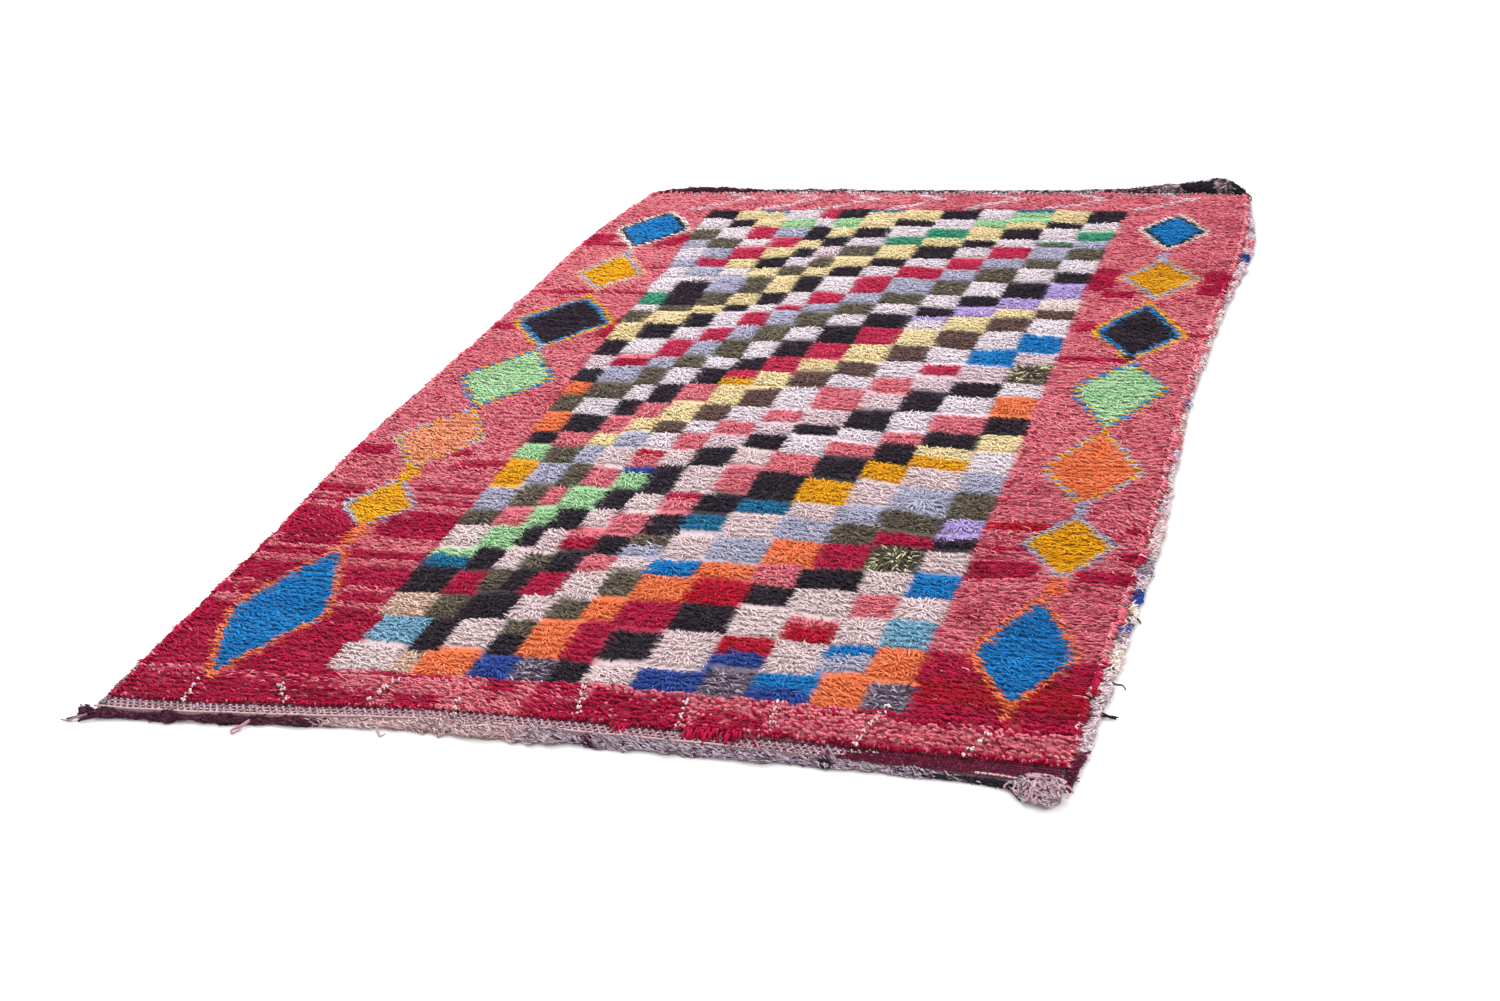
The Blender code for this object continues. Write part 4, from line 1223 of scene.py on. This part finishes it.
def ropeSurface(rope, place, angle, out=0.0):
    # lobed tube: r = thickness / 2 (1 + depth cos(lobes angle - twist along)), pressed down on the floor
    side = rope["side"]
    lump = 1 + rope["lump"] * softNoise(place, place * 0, rope["lumpLength"], rope["seed"])
    if "height" in rope:
        thickness = smoothColumn(rope["shape"], 1, (place - pile["centreY"]) / pile["length"] + 0.5)
        height = np.full_like(thickness, rope["height"])
        inner = sideEdge(side, place)
    else:
        thickness = smoothColumn(rope["shape"], 1, place - pile["centreX"])
        height = smoothColumn(rope["shape"], 2, place - pile["centreX"])
        inner = bandEdge(side, place)
    radius = thickness / 2 * 0.80 * lump
    swell = 1 + rope["lobeDepth"] * np.cos(rope["lobes"] * angle - rope["twist"] * place)
    across = inner + side * (0.4 * mm + thickness / 2 + (radius * swell + out) * np.cos(angle))
    up = height * (rope["sunk"] + np.sin(angle) * swell * 0.92 * lump) / (1 + rope["sunk"])
    up = np.maximum(up + out * np.sin(angle), 0.4 * mm)
    return np.stack([across, place, up] if "height" in rope else [place, across, up], -1)


def pickWools(rope, place, random):
    # the wool of each strand, by its stretch; most strands of one tuft share a wool
    starts = np.array([row[0] for row in rope["stretches"]])
    stretch = np.clip(np.searchsorted(starts, place, side="right") - 1, 0, len(starts) - 1)
    picked = np.zeros(len(place), int)
    tuft = np.floor((place + random.normal(0, 0.15, len(place)) * rope["tuft"]) / rope["tuft"]).astype(int)
    tuftDice = np.random.default_rng(rope["seed"] + 1).random(4000)[tuft % 4000]
    dice = np.where(random.random(len(place)) < rope["tuftShare"], tuftDice, random.random(len(place)))
    for index, (_, shares) in enumerate(rope["stretches"]):
        names = [woolNames.index(name) for name in shares]
        bounds = np.cumsum(list(shares.values()))
        choice = np.array(names)[np.minimum(np.searchsorted(bounds, dice), len(names) - 1)]
        picked = np.where(stretch == index, choice, picked)
    return picked


def layRope(name, rope):
    # the felted core as one closed tube, and strands of each wool laid over it along its twist
    random = np.random.default_rng(rope["seed"])
    if "height" in rope:
        low, high = rope["ends"]
        scale, zero = pile["length"], pile["centreY"] - pile["length"] / 2
    else:
        low, high = (rope["shape"][k][0] + pile["centreX"] for k in (0, -1))
        scale, zero = 1.0, pile["centreX"]
    steps, sides = 300, 8
    place = np.repeat(np.linspace(low, high, steps)[:, None], sides, 1)
    angle = np.repeat(np.arange(sides)[None] * 2 * math.pi / sides, steps, 0)
    rings = ropeSurface(rope, place, angle)
    points = np.concatenate([rings.reshape(-1, 3), rings[[0, -1]].mean(1)])
    faces = tubeFaces(steps, sides)
    if outwardVolume(points, faces) < 0:
        faces = faces[:, ::-1]
    core = makePiece(name + "_core", points, faces, feltMaterial())
    # painted shade: the core takes each stretch's wool darkened to the rope's shadow share, for the shade
    # between the strands over it
    shade = mainColours[pickWools(rope, (place[:, 0] - zero) / scale, random)] * rope["shadow"]
    shade = np.concatenate([np.repeat(shade, sides, 0), shade[[0, -1]]])
    shade = np.concatenate([shade, np.ones((len(shade), 1))], 1)
    colours = core.data.attributes.new("woolAndShade", "FLOAT_COLOR", "POINT")
    colours.data.foreach_set("color", shade.astype(np.float32).ravel())
    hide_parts(rope["node"])
    # strands: more where the rope is thick, over the top and the outer side
    count = rope["strands"]
    fine = np.linspace(low, high, 2000)
    weight = smoothColumn(rope["shape"], 1, (fine - zero) / scale) ** 0.8
    place = np.interp(random.random(count), np.cumsum(weight) / weight.sum(), fine)
    angle = random.uniform(*rope["from"], count)
    reach = random.uniform(*rope["reach"], count)
    radius = np.maximum(smoothColumn(rope["shape"], 1, (place - zero) / scale) / 2, 4 * mm)
    turn = rope["around"] + random.normal(0, rope["crossing"], count)
    along = reach * np.sqrt(np.clip(1 - turn**2, 0.05, 1)) * random.choice([-1, 1], count)
    around = -reach * turn / radius * np.where(rope["around"] > 0.5, 1, np.sign(along))
    middle, last = np.clip([place + along * 0.45, place + along], low, high)
    bendOut = random.uniform(0.4, 1.6, count) * mm
    loose = random.random(count) < rope["looseShare"]
    tipOut = random.uniform(-0.2, 1.0, count) * 1.5 * mm + loose * random.uniform(0, 1, count) * rope["stray"]
    root = ropeSurface(rope, place, angle, -1.2 * mm)
    bend = ropeSurface(rope, middle, angle + around * 0.45, bendOut)
    tip = ropeSurface(rope, last, np.maximum(angle + around, -0.9), tipOut)
    up = unit(bend - ropeSurface(rope, middle, angle + around * 0.45, -4 * mm))
    width = random.uniform(*rope["width"], count)
    picked = pickWools(rope, (place - zero) / scale, random)
    spreads = np.array([wools[key][3] for key in woolNames])
    tone = np.clip(0.5 + random.normal(0, 0.8, count) * spreads[picked], 0, 1)
    for index in np.unique(picked):
        chosen = picked == index
        strandPiece(
            name + "_" + woolNames[index], woolNames[index], root[chosen], bend[chosen],
            tip[chosen], up[chosen], width[chosen], tone[chosen],
        )
    print(name, count, "strands")


layRope("near_braid", braidNear)
layRope("far_braid", braidFar)
layRope("right_overcast", overcastRight)
layRope("left_overcast", overcastLeft)

# Loose ends of yarn: the tail and the curled corner of the near braid, a loop, and bits on the right.

ends = {
    # wool, radius and points of each yarn in millimetres, by slot
    "yarns": {
        "near_braid_yarn": (
            ("maroon", 3.4, ((-738, -1334, 8), (-756, -1343, 7), (-772, -1350, 5), (-784, -1353, 3))),
            ("lilac", 2.2, ((-752, -1342, 8), (-768, -1351, 6), (-780, -1356, 3), (-793, -1356, 3))),
            ("maroon", 3.0, ((-726, -1336, 8), (-742, -1348, 7), (-754, -1352, 5), (-760, -1358, 4))),
            ("mauve", 2.5, ((-474, -1318, 8), (-482, -1332, 6), (-493, -1344, 4), (-488, -1349, 3),
             (-482, -1343, 4), (-480, -1330, 5))),
            ("blush", 2.2, ((-262, -1306, 8), (-255, -1316, 5), (-249, -1321, 3), (-243, -1315, 4))),
        ),
        "right_overcast_rag": (
            ("cream", 2.2, ((790, -936, 9), (804, -940, 9), (815, -946, 6), (808, -952, 4))),
            ("black", 3.0, ((788, -1100, 8), (800, -1103, 7), (812, -1107, 5), (822, -1108, 3))),
            ("black", 2.0, ((790, -1098, 6), (804, -1108, 6), (815, -1102, 3), (825, -1104, 3))),
            ("black", 2.4, ((790, -812, 10), (802, -822, 8), (812, -818, 5), (818, -826, 3))),
            ("royal", 3.6, ((782, -748, 11), (798, -744, 10), (810, -752, 7), (802, -764, 5))),
            ("royal", 3.4, ((784, -758, 10), (800, -760, 9), (812, -762, 6), (808, -752, 4))),
            ("royal", 2.2, ((786, -640, 10), (800, -644, 9), (814, -652, 6), (808, -660, 4))),
            ("royal", 2.2, ((786, -668, 10), (800, -666, 9), (814, -670, 6), (812, -680, 3))),
            ("royal", 2.0, ((764, 4, 9), (774, 6, 9), (784, 3, 7), (790, 6, 4))),
            ("greyMarl", 2.0, ((796, -1012, 8), (808, -1020, 7), (818, -1018, 5), (824, -1026, 3))),
            ("maroon", 2.2, ((778, -448, 10), (790, -451, 9), (802, -455, 6), (808, -452, 4))),
            ("lilac", 2.2, ((790, 1010, 9), (802, 1006, 8), (812, 1002, 6), (820, 1006, 4))),
        ),
        "far_braid_yarn": (
            ("black", 2.4, ((756, 1300, 12), (772, 1288, 12), (782, 1268, 10), (785, 1246, 8))),
            ("black", 2.2, ((750, 1306, 14), (770, 1296, 12), (788, 1276, 9), (790, 1256, 6))),
        ),
    },
    "steps": 14,
    # the curled corner of the near braid
    "curls": 84,
    "curlMiddle": (0.748, -1.3185, 0.042, 0.029, 0.028),  # place, half length, half width, height
    "curlTurn": (3.5 * mm, 8 * mm),
    "curlRadius": (1.3 * mm, 1.8 * mm),
    "curlSteps": 10,
    "curlSweep": (1.2, 2.7),  # radians
    # crimson locks that hang over the near band: middle across, how many
    "locks": ((0.238, 26), (0.262, 14), (0.300, 18), (0.115, 14)),
    "lockStray": 9 * mm,
    "lockTurn": -100,  # degrees
    "lockSpread": 0.45,  # radians
    "lockReach": (18 * mm, 34 * mm),
    "lockDepth": 7 * mm,
    "lockWidth": (3.6 * mm, 5.2 * mm),
    "seed": 61,
}


def smoothLine(points, steps):
    # a smooth line through points in millimetres, cubic between them
    rows = np.column_stack([np.arange(len(points)), np.array(points, float) * mm])
    place = np.linspace(0, len(points) - 1, steps)
    return np.stack([smoothColumn(rows, column, place) for column in (1, 2, 3)], 1)


def layEnds():
    random = np.random.default_rng(ends["seed"])
    taper = np.linspace(1.0, 0.55, ends["steps"])
    groups = {}
    for slot, yarns in ends["yarns"].items():
        for wool, radius, points in yarns:
            line = smoothLine(points, ends["steps"])
            line[:, 2] = np.maximum(line[:, 2], radius * mm)
            groups.setdefault((wool, slot), []).append((line, taper * radius * mm))
    for (wool, slot), yarns in groups.items():
        lines, radii = (np.array(part) for part in zip(*yarns))
        tubePiece(
            "ends_" + slot.split("_")[0] + "_" + wool, wool, lines, radii,
            random.uniform(0.05, 0.35, len(yarns)),
        )
    # curls of the corner: short turns of yarn laid over its lump
    count = ends["curls"]
    midX, midY, halfX, halfY, height = ends["curlMiddle"]
    turnAt, share = random.uniform(0, 2 * math.pi, count), np.sqrt(random.uniform(0, 0.95, count))
    cx, cy = midX + halfX * share * np.cos(turnAt), midY + halfY * share * np.sin(turnAt)
    size = random.uniform(*ends["curlTurn"], count)
    begin = random.uniform(0, 2 * math.pi, count)
    part = np.linspace(0, 1, ends["curlSteps"])[None]
    sweep = part * random.uniform(*ends["curlSweep"], count)[:, None] + begin[:, None]
    x, y = cx[:, None] + size[:, None] * np.cos(sweep), cy[:, None] + size[:, None] * 0.8 * np.sin(sweep)
    bulge = 1 - ((x - midX) / (halfX + 12 * mm)) ** 2 - ((y - midY) / (halfY + 10 * mm)) ** 2
    z = height * np.sqrt(np.clip(bulge, 0.02, 1))
    lines = np.stack([x, y, np.maximum(z, 2.5 * mm)], -1)
    radii = random.uniform(*ends["curlRadius"], (count, 1)) * np.ones((1, ends["curlSteps"]))
    for first, wool in enumerate(("lilac", "blush", "mauve")):
        tubePiece(
            "corner_curls_" + wool, wool, lines[first::3], radii[first::3],
            random.uniform(0.15, 0.55, len(lines[first::3])),
        )
    # long crimson locks over the near band
    stray = ends["lockStray"]
    x = np.concatenate([middle + random.normal(0, stray, many) for middle, many in ends["locks"]])
    y = endEdge(-1, x) + random.uniform(-2 * mm, 10 * mm, len(x))
    azimuth = math.radians(ends["lockTurn"]) + random.normal(0, ends["lockSpread"], len(x))
    heading = headingOf(azimuth)
    reach = random.uniform(*ends["lockReach"], len(x))
    top = pileTop(x, y) * random.uniform(0.85, 1.05, len(x))
    root = np.stack([x, y, top - ends["lockDepth"]], 1)
    bend = np.stack([x, y, top], 1) + heading * (reach * 0.4)[:, None]
    tip = np.stack([x, y, top], 1) + heading * reach[:, None]
    tip[:, 2] = np.maximum(top - reach * random.uniform(0.25, 0.5, len(x)), 7 * mm)
    strandPiece(
        "crimson_locks", "crimson", root, bend, tip,
        np.broadcast_to(upward, root.shape), random.uniform(*ends["lockWidth"], len(x)),
        random.uniform(0.3, 0.6, len(x)),
    )
    print("loose ends:", sum(map(len, ends["yarns"].values())), "yarns and", count, "curls")


layEnds()

# Floor, light and camera.

studio = {
    "floorSize": 14.0,
    "floorColour": "#F6F5F4",
    "worldStrength": 1.02,
    "keyPlace": (-1.8, 1.2, 3.6),
    "keySize": 3.2,
    "keyPower": 160.0,
    "fillPlace": (2.6, -2.4, 3.2),
    "fillSize": 3.0,
    "fillPower": 50.0,
}


def floorMaterial():
    # painted plaster sweep: matt and pale, with the faintest mottle
    material, tree, shader = newMaterial("matt painted plaster")
    place = addNode(tree, "ShaderNodeTexCoord")
    mottle = addNode(tree, "ShaderNodeTexNoise", {"Vector": place.outputs["Object"], "Scale": 3.0})
    ramp = addNode(tree, "ShaderNodeValToRGB", {"Fac": mottle.outputs["Fac"]})
    ramp.color_ramp.elements[0].color = linear("#F3F2F1")
    ramp.color_ramp.elements[1].color = linear(studio["floorColour"])
    tree.links.new(ramp.outputs["Color"], shader.inputs["Base Color"])
    shader.inputs["Roughness"].default_value = 0.9
    return material


def layFloor():
    half = studio["floorSize"] / 2
    mesh = bpy.data.meshes.new("studio_floor")
    corners = [(-half, -half, 0), (half, -half, 0), (half, half, 0), (-half, half, 0)]
    mesh.from_pydata(corners, [], [(0, 1, 2, 3)])
    mesh.materials.append(floorMaterial())
    floor = bpy.data.objects.new("studio_floor", mesh)
    bpy.context.scene.collection.objects.link(floor)


def hangLight(name, place, size, power):
    # a square soft box that looks at the middle of the rug
    light = bpy.data.lights.new(name, "AREA")
    light.size, light.energy = size, power
    lamp = bpy.data.objects.new(name, light)
    lamp.location = place
    lamp.rotation_euler = (-Vector(place)).to_track_quat("-Z", "Y").to_euler()
    bpy.context.scene.collection.objects.link(lamp)


layFloor()
hangLight("key_softbox", studio["keyPlace"], studio["keySize"], studio["keyPower"])
hangLight("fill_softbox", studio["fillPlace"], studio["fillSize"], studio["fillPower"])
world = bpy.data.worlds.new("studio")
world.use_nodes = True
world.node_tree.nodes["Background"].inputs["Color"].default_value = linear("#FFFFFF")
world.node_tree.nodes["Background"].inputs["Strength"].default_value = studio["worldStrength"]
bpy.context.scene.world = world

view = {
    "place": (1.23685, -3.66192, 1.60869),
    "right": (0.949290697, 0.299696199, -0.095022950),
    "down": (0.047375468, -0.435139703, -0.899115679),
    "look": (-0.310809810, 0.849020393, -0.427272320),
    "lens": 50.0,
}


def placeCamera():
    # the camera's axes are the picture's right, its up and the way back from the rug
    camera = bpy.data.cameras.new("photo_camera")
    camera.lens, camera.sensor_width = view["lens"], 36.0
    holder = bpy.data.objects.new("photo_camera", camera)
    axes = Matrix([view["right"], [-v for v in view["down"]], [-v for v in view["look"]]]).transposed()
    holder.matrix_world = Matrix.Translation(view["place"]) @ axes.to_4x4()
    bpy.context.scene.collection.objects.link(holder)
    bpy.context.scene.camera = holder


placeCamera()
bpy.context.scene.view_settings.view_transform = "Standard"
print("studio and camera set")
